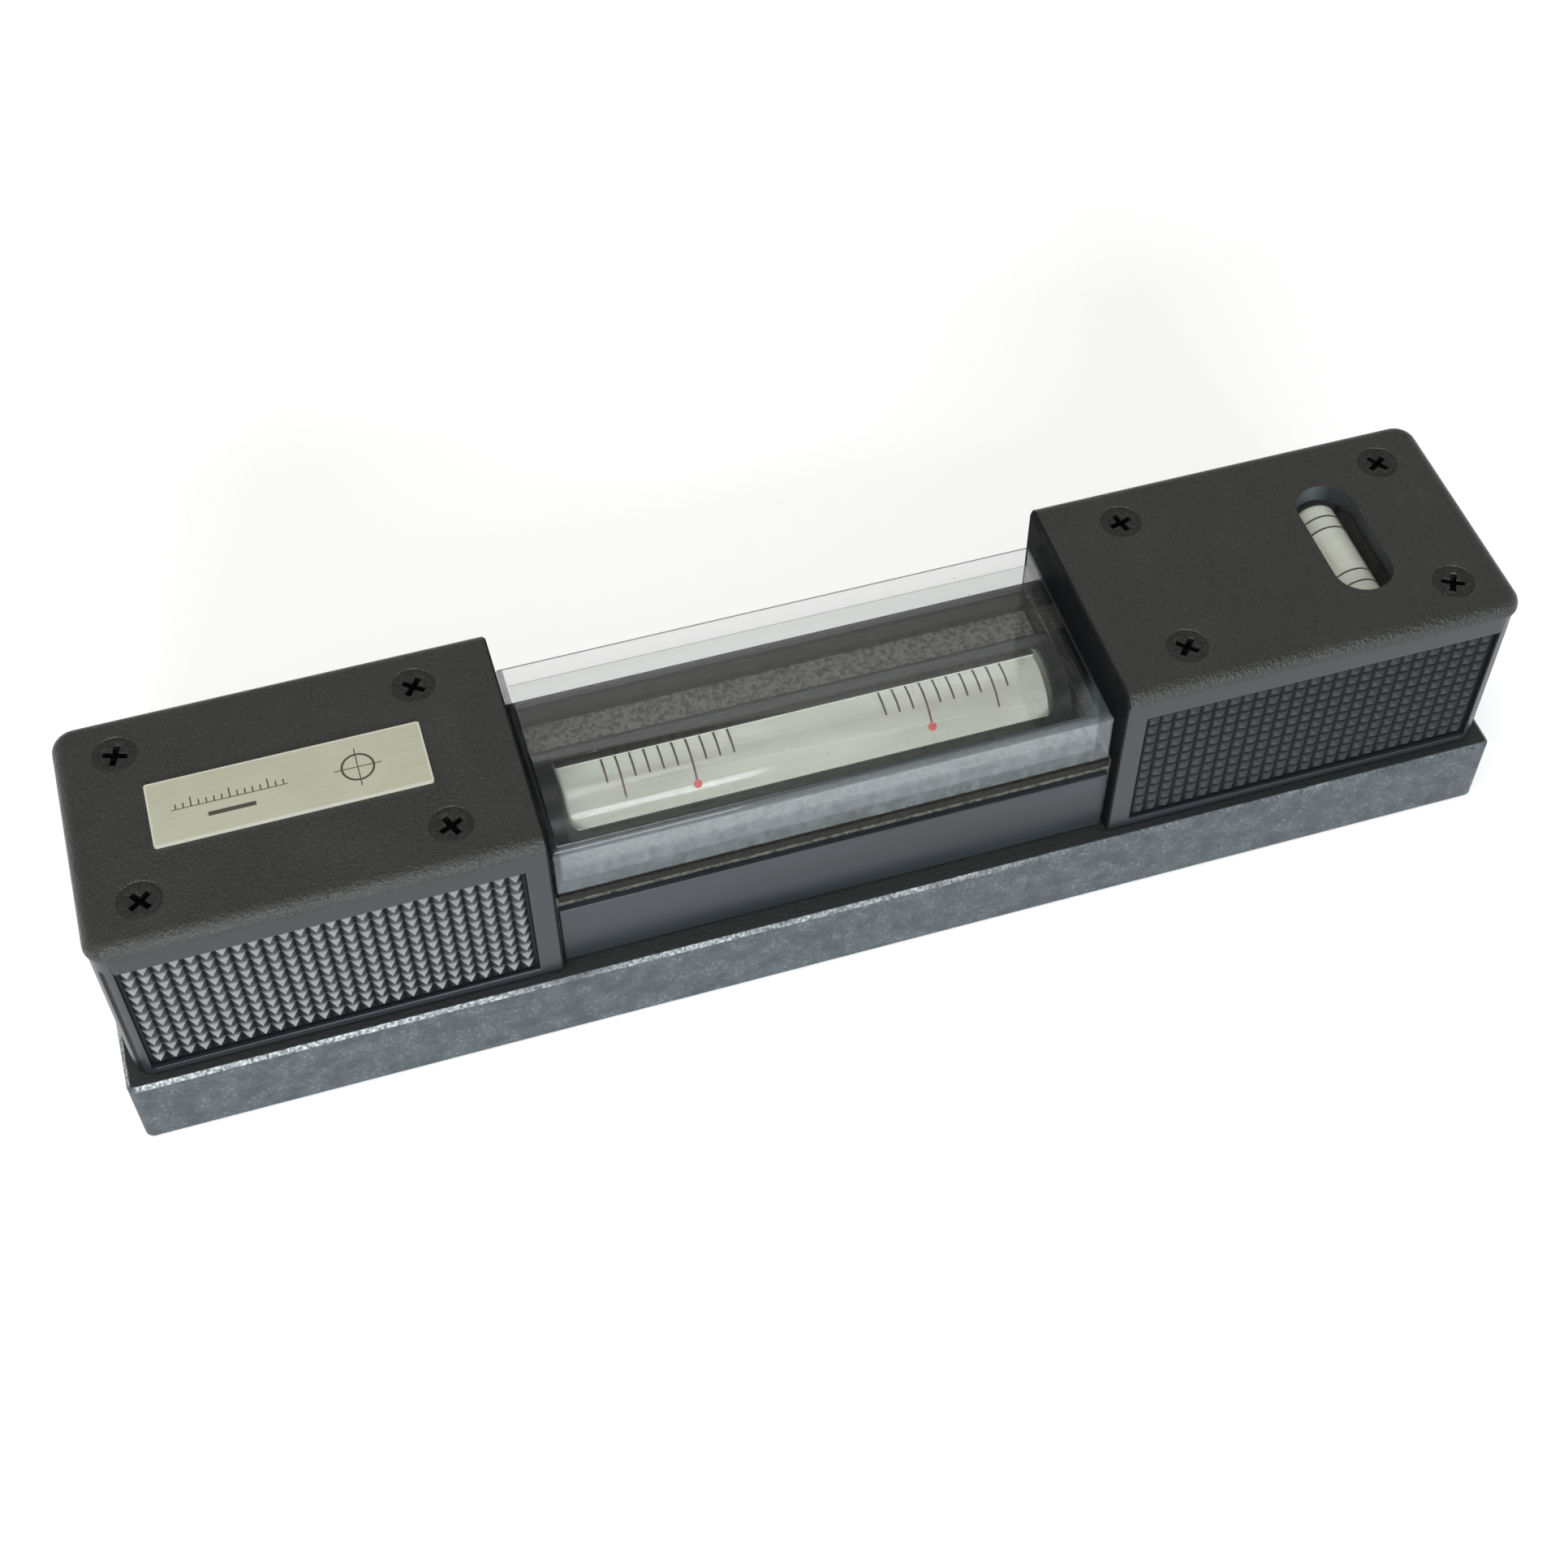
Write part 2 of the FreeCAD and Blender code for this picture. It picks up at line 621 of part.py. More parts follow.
def grip_shell(label, window):
    """The right-hand moulded grip without its pyramids, with or without the cross vial's window."""
    grip = Piece(label, named=False)
    side, rim = "gripSide", "(gripSide + rimOverhang)"
    rim_foot = "gripTop - rimHeight"
    grip.pad(block("gripInner", f"-({side})", "gripEnd", side), "XY", "gripFloor", rim_foot)
    grip.fillet("gripCornerRadius", both(runs("z"), at("x", "gripEnd")))
    grip.pad(block("gripInner", f"-{rim}", "gripOuter", rim), "XY", rim_foot, "gripTop")
    grip.fillet("gripCornerRadius", both(runs("z"), at("x", "gripOuter")))
    grip.fillet("rimRadius", both(at("z", "gripTop"), beyond("x", "gripInner + gripWall")))
    grip.chamfer("gripInnerBevel", both(at("z", "gripTop"), at("x", "gripInner")))

    cavity = block("cavityInner", "-(cavitySide)", "cavityOuter", "cavitySide")
    grip.pocket(cavity, "XY", "gripFloor", "blockTop")
    inside = both(runs("z"), at("x", "cavityOuter"), at("y", "cavitySide", "-(cavitySide)"))
    grip.fillet("gripCavityRadius", inside)
    mouth = block("-(cavitySide)", "gripFloor", "cavitySide", "endWallFoot")
    grip.pocket(mouth, "YZ", "gripInner", "cavityInner")

    # countersunk holes: a bore with clearance and a cone under each head
    for x in ("screwInner", "screwOuter"):
        for y in ("screwSide", "-(screwSide)"):
            bore = disc(x, y, "gripScrewDiameter / 2 + screwHoleClearance")
            grip.pocket(bore, "XY", "blockTop", "gripTop")
            cone = grip.body.newObject("PartDesign::SubtractiveCone", "Countersink")
            mouth_radius = "gripScrewHead / 2 + screwHeadSink"
            bore_radius = "gripScrewDiameter / 2"
            bind(cone, Radius1=bore_radius, Radius2=mouth_radius, Height=f"{mouth_radius} - {bore_radius}")
            cone.AttachmentSupport = [(grip.plane("XY_Plane"), "")]
            cone.MapMode = "FlatFace"
            foot = f"gripTop - ({mouth_radius}) + {bore_radius}"
            for letter, rule in zip("xyz", (x, y, foot)):
                cone.setExpression(f"AttachmentOffset.Base.{letter}", expand(rule))
            DOC.recompute()

    # shallow recess of each pyramid panel
    frame = block("fieldStart - panelBorder", "fieldFoot - panelBorder",
                  "fieldStart + fieldLength + panelBorder", "fieldFoot + fieldHeight + panelBorder")
    grip.pocket(frame, "XZ", f"-({side})", f"-({side}) + recessDepth")
    grip.pocket(frame, "XZ", f"{side} - (recessDepth)", side)

    if window:
        reach = "(crossWindowEnd - crossWindowWidth / 2)"
        slot = Outline().obround("crossWindowX", f"-{reach}", reach, "crossWindowWidth / 2")
        grip.pocket(slot, "XY", "blockTop", "gripTop")
    return grip.body


def grip_caps(field):
    """Both grips: a shell with a panel of pyramids fused into each side; the left one is mirrored."""
    for label, window in (("right_grip_cap", True), ("left_grip_cap", False)):
        shell = grip_shell(label + "_shell", window)
        panels = []
        for way in (-1, 1):
            panel = DOC.addObject("Part::Compound", "panel")
            panel.Links = [field]
            panel.Placement = Placement(Vector(), Rotation(Vector(0, 0, 1), 0 if way < 0 else 180))
            start = "fieldStart" if way < 0 else "fieldStart + fieldLength"
            bind_place(panel, start, f"{way} * (gripSide - recessDepth)", "fieldFoot")
            panels.append(panel)
        grip = combine("Part::MultiFuse", label, shell, *panels)
        if not window:
            mirrored = DOC.addObject("Part::Mirroring", label)
            mirrored.Source = grip
            mirrored.Normal = Vector(1, 0, 0)
            grip.Label = label + "_unmirrored"
            grip = mirrored
        keep(grip, label)
    DOC.recompute()


def grip_screws():
    """Four countersunk screws in each grip, their heads a little below its top."""
    radius, head = "gripScrewDiameter / 2", "gripScrewHead / 2"
    cone = f"({head} - {radius})"
    profile = (("0", "-gripScrewLength"), (radius, "-gripScrewLength"), (radius, f"-{cone}"),
               (head, "0"), ("0", "0"))
    for hand, sign in (("left", "-"), ("right", "")):
        for end, x in (("inner", "screwInner"), ("outer", "screwOuter")):
            for row, y in (("front", "-(screwSide)"), ("rear", "screwSide")):
                screw = Piece(f"{hand}_grip_{end}_{row}_screw")
                screw.revolve(Outline().polygon(*profile), "XZ", "Z")
                screw.place(f"{sign}({x})", y, "gripTop - screwHeadSink")


def name_plate():
    """The thin plate on top of the left grip."""
    plate = Piece("name_plate")
    outer = "-(gripOuter - namePlateInset)"
    side = "namePlateWidth / 2"
    face = block(outer, f"namePlateShift - {side}", f"{outer} + namePlateLength", f"namePlateShift + {side}")
    plate.pad(face, "XY", "gripTop", "gripTop + namePlateThickness")
    plate.fillet("namePlateRadius", runs("z"))


def vial_cover():
    """The clear moulded box over the main vial, open underneath."""
    cover = Piece("vial_cover")
    section = Outline().polygon(("-(coverFoot)", "gasketTop"), ("coverFoot", "gasketTop"),
                                ("coverShoulder", "coverTop"), ("-(coverShoulder)", "coverTop"))
    cover.pad(section, "YZ", "-(coverEnd)", "coverEnd")
    cover.fillet("coverRadius", at("z", "coverTop"))
    foot, top = "(coverFoot - coverWall)", "(coverShoulder - coverWall)"
    ceiling = "coverTop - coverWall"
    hollow = Outline().polygon((f"-{foot}", "gasketTop"), (foot, "gasketTop"),
                               (top, ceiling), (f"-{top}", ceiling))
    cover.pocket(hollow, "YZ", "-(coverEnd - coverEndWall)", "coverEnd - coverEndWall")
    cover.fillet("coverInnerRadius", both(runs("x"), at("z", ceiling)))


def cover_gasket():
    """The flat seal between the deck and the cover's foot."""
    gasket = Piece("cover_gasket")
    ring = block("-(coverEnd)", "-(gasketSide)", "coverEnd", "gasketSide")
    end, lip = "(coverEnd - gasketEndLip)", "(gasketSide - gasketSideLip)"
    ring.rectangle(f"-{end}", f"-{lip}", end, lip)
    gasket.pad(ring, "XY", "deckTop", "gasketTop")


def side_strips():
    """The smooth trim strips on the front and the rear of the rib."""
    top = "stripFoot + stripHeight"
    for label, low, high, face in (
            ("front_side_panel", "-(blockSide) - stripThickness", "-(blockSide)", "low"),
            ("rear_side_panel", "blockSide", "blockSide + stripThickness", "high")):
        strip = Piece(label)
        strip.pad(block("-(stripEnd)", "stripFoot", "stripEnd", top), "XZ", low, high)
        strip.fillet("stripEdge", at("y", low if face == "low" else high))


def vial_tube():
    """The housing tube, with its window milled square to a tilted line of sight."""
    tube = Piece("vial_tube")
    tube.pad(disc("0", "0", "tubeDiameter / 2"), "YZ", "-(tubeEnd)", "tubeEnd")
    tube.pocket(disc("0", "0", "tubeBore / 2"), "YZ", "-(tubeEnd)", "tubeEnd")
    half_width = "(tubeDiameter / 2 * sin(tubeWindowAngle / 2))"
    window = Outline().rounded("-(tubeWindowEnd)", f"-{half_width}", "tubeWindowEnd", half_width,
                               "tubeWindowFrontRadius", "tubeWindowRearRadius")
    tube.pocket(window, "XY", "0", "tubeDiameter / 2")
    tilt(tube.body)


def tilt(thing):
    """Turns a piece of the vial's housing toward the reader and lifts it onto the tube's axis."""
    thing.Placement = Placement(Vector(), Rotation(Vector(1, 0, 0), value("tubeWindowTilt")))
    thing.setExpression("Placement.Rotation.Angle", expand("tubeWindowTilt"))
    bind_place(thing, z="tubeAxis")


def half_shell(label, radius, gap, thickness, length, opening):
    """A thin reflector round the far side of a vial, along X, open upward over an angle."""
    outer = DOC.addObject("Part::Cylinder", label + "_outer")
    bind(outer, Radius=f"{radius} + {gap} + {thickness}", Height=length, Angle=f"360 - ({opening})")
    inner = DOC.addObject("Part::Cylinder", label + "_inner")
    bind(inner, Radius=f"{radius} + {gap}", Height=length)
    shell = combine("Part::Cut", label, outer, inner)
    return keep(shell, label)


def main_reflector():
    """The white backing of the main vial, open where the tube's window is."""
    opening = "tubeWindowAngle"
    shell = half_shell("main_vial_reflector", "vialDiameter / 2", "reflectorGap",
                       "reflectorThickness", "2 * (vialEnd)", opening)
    # The cylinders' sectors start at +X and turn about +Z, so the shell is laid along X
    # and turned until the open sector is centred on the window.
    lay = Rotation(Vector(0, 1, 0), 90)
    centre = Rotation(Vector(1, 0, 0), value("tubeWindowTilt") + value(opening) / 2 - 180)
    shell.Placement = Placement(Vector(), centre * lay)
    bind_place(shell, "-(vialEnd)", "0", "tubeAxis")


def ampoule(prefix, names, bubble):
    """A sealed glass vial along X round the origin, and the spirit in it under its bubble."""
    radius, end, wall = names + "Diameter / 2", f"({names}End)", names + "Wall"
    glass = Piece(prefix + "_glass")
    glass.pad(disc("0", "0", radius), "YZ", f"-{end}", end)
    inner_end = f"({end} - {wall})"
    glass.pocket(disc("0", "0", f"{radius} - {wall}"), "YZ", f"-{inner_end}", inner_end)

    spirit = Piece(prefix + "_liquid")
    radius, end = f"({radius} - {wall} - liquidGap)", f"({inner_end} - liquidGap)"
    spirit.pad(disc("0", "0", radius), "YZ", f"-{end}", end)
    reach = bubble + "Length / 2"
    air = block(f"-{reach}", f"{radius} - {bubble}Depth", reach, radius)
    spirit.pocket(air, "XZ", f"-{radius}", radius)
    return glass.body, spirit.body


def main_vial():
    """The ground main vial and its spirit."""
    for thing in ampoule("main_vial", "vial", "bubble"):
        bind_place(thing, z="tubeAxis")


def end_plug(label, sign):
    """A plug pressed into one end of the tube, with the flat tang that carries it."""
    plug = Piece(label)
    spigot = disc("0", "0", "tubeBore / 2 - spigotGap")
    tang_foot, tang_top = "-tangDrop - tangHeight / 2", "-tangDrop + tangHeight / 2"
    tang = block("-tangWidth / 2", tang_foot, "tangWidth / 2", tang_top)
    if sign > 0:
        plug.pad(spigot, "YZ", "tubeEnd - spigotLength", "tubeEnd")
        plug.pad(tang, "YZ", "tubeEnd", "tangEnd")
        hole = "spindleDiameter / 2 + spindleClearance"
        plug.pocket(disc("adjustX", "0", hole), "XY", tang_foot, tang_top)
    else:
        plug.pad(spigot, "YZ", "-(tubeEnd)", "-(tubeEnd) + spigotLength")
        plug.pad(tang, "YZ", "-(tangEnd)", "-(tubeEnd)")
        hole = "pinDiameter / 2 + pinClearance"
        plug.pocket(disc("-(pivotX)", "-tangDrop", hole), "XZ", "-tangWidth / 2", "tangWidth / 2")
    plug.place(z="tubeAxis")


def pivot_pin():
    """The pin that the fixed end of the tube turns on, pressed into the left block."""
    pin = Piece("pivot_pin")
    pin.pad(disc("0", "0", "pinDiameter / 2"), "XZ", "-(pinEnd)", "pinEnd")
    pin.place("-(pivotX)", "0", "tangMiddle")


def adjusting_screw():
    """The captive screw that raises and lowers the other end of the tube."""
    screw = Piece("adjusting_screw")
    spindle, collar, neck = "spindleDiameter / 2", "collarDiameter / 2", "neckDiameter / 2"
    screw.revolve(Outline().polygon(
        ("0", "spindleEnd"), (spindle, "spindleEnd"), (spindle, "collarFoot"), (collar, "collarFoot"),
        (collar, "collarTop"), (neck, "collarTop"), (neck, "neckTop"), ("0", "neckTop")), "XZ", "Z")
    half = "socketWidth / 2"
    corner = "socketWidth / sqrt(3)"
    hexagon = Outline().polygon(
        (corner, "0"), (f"{corner} / 2", half), (f"-{corner} / 2", half),
        (f"-{corner}", "0"), (f"-{corner} / 2", f"-{half}"), (f"{corner} / 2", f"-{half}"))
    screw.pocket(hexagon, "XY", "neckTop - socketDepth", "neckTop")
    screw.place("adjustX", "0", "0")


def retaining_ring():
    """The threaded ring that keeps the adjusting screw down, slotted across for a key."""
    ring = Piece("retaining_ring")
    radius = "ringDiameter / 2"
    ring.pad(disc("0", "0", radius), "XY", "ringFoot", "ringTop")
    ring.pocket(disc("0", "0", "neckDiameter / 2 + neckClearance"), "XY", "ringFoot", "ringTop")
    slot = block(f"-{radius}", "-ringSlotWidth / 2", radius, "ringSlotWidth / 2")
    ring.pocket(slot, "XY", "ringTop - ringSlotDepth", "ringTop")
    ring.place("adjustX", "0", "0")


def cross_vial():
    """The cross vial in its cradle, across the level under the right grip's window."""
    holder = Piece("cross_vial_holder")
    length = "holderLength / 2"
    holder.pad(block(f"-{length}", "-(holderSide)", length, "holderSide"), "XY", "holderFoot", "holderTop")
    holder.fillet("holderEdge", runs("z"))
    shell = "(crossVialDiameter / 2 + reflectorGap + reflectorThickness + reflectorGap)"
    cradle = Outline().obround("0", "crossAxis", "crossAxis + crossVialDiameter", shell)
    end = "(crossVialEnd + reflectorGap)"
    holder.pocket(cradle, "XZ", f"-{end}", end)
    holder.place("crossWindowX", "0", "0")

    shell = half_shell("cross_vial_reflector", "crossVialDiameter / 2", "reflectorGap",
                       "reflectorThickness", "2 * (crossVialEnd)", "180")
    # laid along Y, its solid half downward
    shell.Placement = Placement(Vector(), Rotation(Vector(1, 0, 0), -90))
    bind_place(shell, "crossWindowX", "-(crossVialEnd)", "crossAxis")

    for thing in ampoule("cross_vial", "crossVial", "crossBubble"):
        thing.Placement = Placement(Vector(), Rotation(Vector(0, 0, 1), 90))
        bind_place(thing, "crossWindowX", "0", "crossAxis")


def check_and_write():
    """Refuses any failed feature or empty shape, then writes one STEP file for each piece."""
    DOC.recompute()
    failed = [item.Label for item in DOC.Objects if {"Invalid", "Error"} & set(item.State)]
    if failed:
        raise RuntimeError("failed: " + ", ".join(failed))
    os.makedirs("parts", exist_ok=True)
    for piece in PIECES:
        if piece.Shape.isNull() or not piece.Shape.isValid() or len(piece.Shape.Solids) != 1:
            raise RuntimeError("bad shape: " + piece.Label)
    for piece in PIECES:
        piece.Shape.exportStep(f"parts/{piece.Label}.step")
        print(f"{piece.Label:36s} {piece.Shape.Volume:12.2f} mm3")


cast_body()
grip_caps(pyramid_field())
grip_screws()
name_plate()
vial_cover()
cover_gasket()
side_strips()
vial_tube()
main_reflector()
main_vial()
end_plug("pivot_end_plug", -1)
end_plug("adjusting_end_plug", 1)
pivot_pin()
adjusting_screw()
retaining_ring()
cross_vial()
check_and_write()
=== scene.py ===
import math

import bmesh
import bpy
import numpy as np
from mathutils import Matrix, Vector


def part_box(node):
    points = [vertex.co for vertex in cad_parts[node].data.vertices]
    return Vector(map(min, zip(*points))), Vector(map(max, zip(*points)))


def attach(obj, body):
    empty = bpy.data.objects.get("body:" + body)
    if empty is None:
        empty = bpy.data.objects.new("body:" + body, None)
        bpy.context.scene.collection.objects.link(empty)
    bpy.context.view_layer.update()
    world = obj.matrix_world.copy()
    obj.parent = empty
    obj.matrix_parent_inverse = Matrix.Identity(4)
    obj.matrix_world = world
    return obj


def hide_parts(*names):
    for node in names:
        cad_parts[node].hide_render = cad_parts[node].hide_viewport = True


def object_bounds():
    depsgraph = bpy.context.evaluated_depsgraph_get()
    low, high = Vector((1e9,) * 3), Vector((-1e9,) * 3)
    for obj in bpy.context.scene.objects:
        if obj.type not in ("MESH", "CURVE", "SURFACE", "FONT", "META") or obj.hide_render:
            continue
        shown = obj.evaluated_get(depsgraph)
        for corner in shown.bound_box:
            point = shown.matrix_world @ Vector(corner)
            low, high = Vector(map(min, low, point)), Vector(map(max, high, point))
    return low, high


# Looks of a precision machinist level. Metres; +X along the level, +Y away from the reader, +Z up.

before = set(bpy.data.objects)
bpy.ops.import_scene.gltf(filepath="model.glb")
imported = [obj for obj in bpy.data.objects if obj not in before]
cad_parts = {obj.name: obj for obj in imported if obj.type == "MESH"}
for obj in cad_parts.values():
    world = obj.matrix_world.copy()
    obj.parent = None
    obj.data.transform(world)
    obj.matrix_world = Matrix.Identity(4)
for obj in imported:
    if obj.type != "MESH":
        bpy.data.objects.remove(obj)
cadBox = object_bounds()
scene = bpy.context.scene
mm = 0.001
print("frame loaded:", len(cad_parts), "nodes")


def tint(red, green, blue):
    # a colour as it is picked on a screen, 0 to 255, turned into the linear values that shaders take
    screen = np.array((red, green, blue)) / 255
    linear = np.where(screen <= 0.04045, screen / 12.92, ((screen + 0.055) / 1.055) ** 2.4)
    return (*linear.tolist(), 1.0)


class Wire:
    # one output socket of a finish; arithmetic on it adds Math nodes

    def __init__(self, finish, socket):
        self.finish = finish
        self.socket = socket

    def maths(self, operation, *values):
        return self.finish.add("Math", {"operation": operation}, dict(enumerate(values)))

    def __add__(self, other):
        return self.maths("ADD", self, other)

    def __sub__(self, other):
        return self.maths("SUBTRACT", self, other)

    def __rsub__(self, other):
        return self.maths("SUBTRACT", other, self)

    def __mul__(self, other):
        return self.maths("MULTIPLY", self, other)

    def __pow__(self, other):
        return self.maths("POWER", self, other)

    def __abs__(self):
        return self.maths("ABSOLUTE", self)

    def least(self, other):
        return self.maths("MINIMUM", self, other)

    def most(self, other):
        return self.maths("MAXIMUM", self, other)

    def ramp(self, low, high):
        # 0 at low, 1 at high, with a soft start and end
        smooth = {"interpolation_type": "SMOOTHSTEP"}
        return self.finish.add("MapRange", smooth, {"Value": self, "From Min": low, "From Max": high})

    def within(self, half, soft):
        # 1 where the value lies within plus or minus half, falling to 0 over soft
        return abs(self).ramp(half + soft, half - soft)

    __radd__ = __add__
    __rmul__ = __mul__


class Finish:
    # a material being written, with one method that adds any node

    def __init__(self, name, tree=None):
        if tree is None:
            self.material = bpy.data.materials.new(name)
            self.material.use_nodes = True
            tree = self.material.node_tree
        self.tree = tree
        self.tree.nodes.clear()

    def add(self, kind, settings=None, inputs=None, out=0):
        node = self.tree.nodes.new("ShaderNode" + kind)
        for key, setting in (settings or {}).items():
            setattr(node, key, setting)
        for key, source in (inputs or {}).items():
            if isinstance(source, Wire):
                self.tree.links.new(source.socket, node.inputs[key])
            else:
                node.inputs[key].default_value = source
        return Wire(self, node.outputs[out]) if node.outputs else node

    def place(self):
        return self.add("TexCoord", out="Object")

    def axes(self):
        # the point's three coordinates in millimetres
        scaled = self.add("VectorMath", {"operation": "SCALE"}, {0: self.place(), "Scale": 1000.0})
        node = self.add("SeparateXYZ", inputs={0: scaled}).socket.node
        return [Wire(self, node.outputs[side]) for side in "XYZ"]

    def facing(self, side):
        # the surface normal's share along one axis
        normal = self.add("NewGeometry", out="Normal")
        return self.add("SeparateXYZ", inputs={0: normal}, out=side)

    def noise(self, grain, detail=2.0, roughness=0.5, stretch=(1, 1, 1)):
        # noise whose features are about grain millimetres across
        spread = {0: self.place(), 1: tuple(1 / (grain * mm * side) for side in stretch)}
        where = self.add("VectorMath", {"operation": "MULTIPLY"}, spread)
        return self.add("TexNoise", None, {"Vector": where, "Scale": 1.0, "Detail": detail,
                                           "Roughness": roughness})

    def cells(self, grain, feature="F1"):
        # distance to the nearest of many scattered points about grain millimetres apart
        return self.add("TexVoronoi", {"feature": feature},
                        {"Vector": self.place(), "Scale": 1 / (grain * mm)}, out="Distance")

    def mix(self, share, first, second):
        return self.add("Mix", {"data_type": "RGBA"}, {0: share, 6: first, 7: second}, out=2)

    def bump(self, height, depth, strength=1.0, under=None):
        # relief of depth millimetres at height 1
        inputs = {"Height": height, "Distance": depth * mm, "Strength": strength}
        if under is not None:
            inputs["Normal"] = under
        return self.add("Bump", None, inputs)

    def principled(self, **inputs):
        # each keyword is a socket's name with underscores for its spaces
        sockets = {key.replace("_", " "): value for key, value in inputs.items()}
        return self.add("BsdfPrincipled", None, sockets)

    def mirrorShare(self):
        # how much a clear surface mirrors: 4 % head on, all of it edge on, from either side
        facing = self.add("LayerWeight", None, {"Blend": 0.5}, out="Facing")
        return 0.04 + 0.96 * facing ** 5

    def blend(self, share, first, second):
        return self.add("MixShader", None, {0: share, 1: first, 2: second})

    def done(self, shader):
        self.add("OutputMaterial", None, {"Surface": shader})
        return self.material


def newPiece(name, mesh, body, material, instead=(), angle=32):
    # an object in its place, smooth across edges flatter than the angle, riding on its body
    piece = bpy.data.objects.new(name, mesh)
    scene.collection.objects.link(piece)
    mesh.materials.clear()
    mesh.materials.append(material)
    smoothOver(mesh, math.radians(angle))
    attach(piece, body)
    if instead:
        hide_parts(*instead)
    return piece


def smoothOver(mesh, angle):
    # shades across every edge flatter than the angle
    work = bmesh.new()
    work.from_mesh(mesh)
    for face in work.faces:
        face.smooth = True
    for edge in work.edges:
        edge.smooth = len(edge.link_faces) == 2 and edge.calc_face_angle() < angle
    work.to_mesh(mesh)
    work.free()


def gridMesh(name, points, closeRows=False, closeColumns=False):
    # one quad for each cell of a rows x columns grid of points; seams and poles are merged
    rows, columns = points.shape[:2]
    index = np.arange(rows * columns).reshape(rows, columns)
    if closeRows:
        index = np.vstack([index, index[:1]])
    if closeColumns:
        index = np.hstack([index, index[:, :1]])
    corners = (index[:-1, :-1], index[1:, :-1], index[1:, 1:], index[:-1, 1:])
    quads = np.stack(corners, axis=-1).reshape(-1, 4)
    mesh = bpy.data.meshes.new(name)
    mesh.from_pydata(points.reshape(-1, 3).tolist(), [], quads.tolist())
    tidyMesh(mesh, outward=True)
    return mesh


def tidyMesh(mesh, outward=False):
    # merges points that coincide, and can turn every face outward
    work = bmesh.new()
    work.from_mesh(mesh)
    bmesh.ops.remove_doubles(work, verts=work.verts, dist=2e-6)
    if outward:
        bmesh.ops.recalc_face_normals(work, faces=work.faces)
    work.to_mesh(mesh)
    work.free()


def smoothCopy(node, material, body="level_body", angle=32, edge=0.0, shortest=3.0, inner=False):
    # the CAD node's own surface merged into one skin, with its long sharp edges broken by edge mm
    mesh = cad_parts[node].data.copy()
    mesh.name = node + "_skin"
    stored = mesh.attributes.get("custom_normal")  # the merged skin gets normals of its own
    if stored:
        mesh.attributes.remove(stored)
    tidyMesh(mesh)
    if edge:
        breakEdges(mesh, edge * mm, shortest * mm, inner)
    piece = newPiece(node + "_finished", mesh, body, material, [node], angle)
    level = piece.modifiers.new("flat faces stay flat", "WEIGHTED_NORMAL")
    level.keep_sharp = True
    return piece


def breakEdges(mesh, width, shortest, inner):
    # a small two-step bevel along the outer edges, and if asked the inner ones, that are at least this long
    work = bmesh.new()
    work.from_mesh(mesh)
    bmesh.ops.dissolve_limit(work, angle_limit=0.002, verts=work.verts, edges=work.edges)
    edges = []
    for edge in work.edges:
        if len(edge.link_faces) == 2 and (edge.is_convex or inner) and edge.calc_length() > shortest:
            if edge.calc_face_angle() > math.radians(50):
                edges.append(edge)
    bmesh.ops.bevel(work, geom=edges, offset=width, segments=2, profile=0.5, affect="EDGES",
                    clamp_overlap=False)
    work.to_mesh(mesh)
    work.free()


def turned(profile, centre, axis="X", steps=96):
    # a profile of (along, radius) carried once round an axis: along + radius * (cos a, sin a)
    along, radius = np.array(profile, float).T[:, :, None] * mm
    angle = np.linspace(0, 2 * np.pi, steps, endpoint=False)[None, :]
    shape = (along + 0 * angle, radius * np.cos(angle), radius * np.sin(angle))
    order = {"X": (0, 1, 2), "Y": (2, 0, 1), "Z": (1, 2, 0)}[axis]
    return np.stack([shape[i] for i in order], axis=-1) + np.array(centre)


def roundEnds(half, radius, corner, steps=8):
    # half a section of a closed cylinder, from pole to pole, whose rims are quarter circles:
    # (half - corner, radius - corner) + corner * (cos t, sin t)
    turn = np.linspace(0, np.pi / 2, steps)
    along = half - corner + corner * np.cos(turn)
    out = radius - corner + corner * np.sin(turn)
    end = np.vstack([[half, 0], np.column_stack([along, out])])
    return np.vstack([end, (end * (-1, 1))[::-1]])


def middle(node):
    # the middle of a node's box
    low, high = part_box(node)
    return (low + high) / 2


def sizeOf(node):
    # how far a node's box reaches along each axis
    low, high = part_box(node)
    return high - low


def topBeyond(node, side):
    # the height in mm of the node's highest point that lies further back than side
    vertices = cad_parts[node].data.vertices
    points = np.empty(3 * len(vertices), np.float32)
    vertices.foreach_get("co", points)
    points = points.reshape(-1, 3).astype(float)
    return points[points[:, 1] > side, 2].max() / mm


casting = {
    "paint": tint(80, 88, 92),
    "paintDark": tint(56, 63, 68),
    "paintPale": tint(106, 114, 118),
    "deck": tint(112, 113, 104),
    "deckDark": tint(56, 57, 52),
    # the colour painted as shade on the base's top ledge, partly dirt
    "ledgeShade": tint(36, 38, 38),
    "bare": tint(178, 183, 184),
    "wear": 0.51,
}


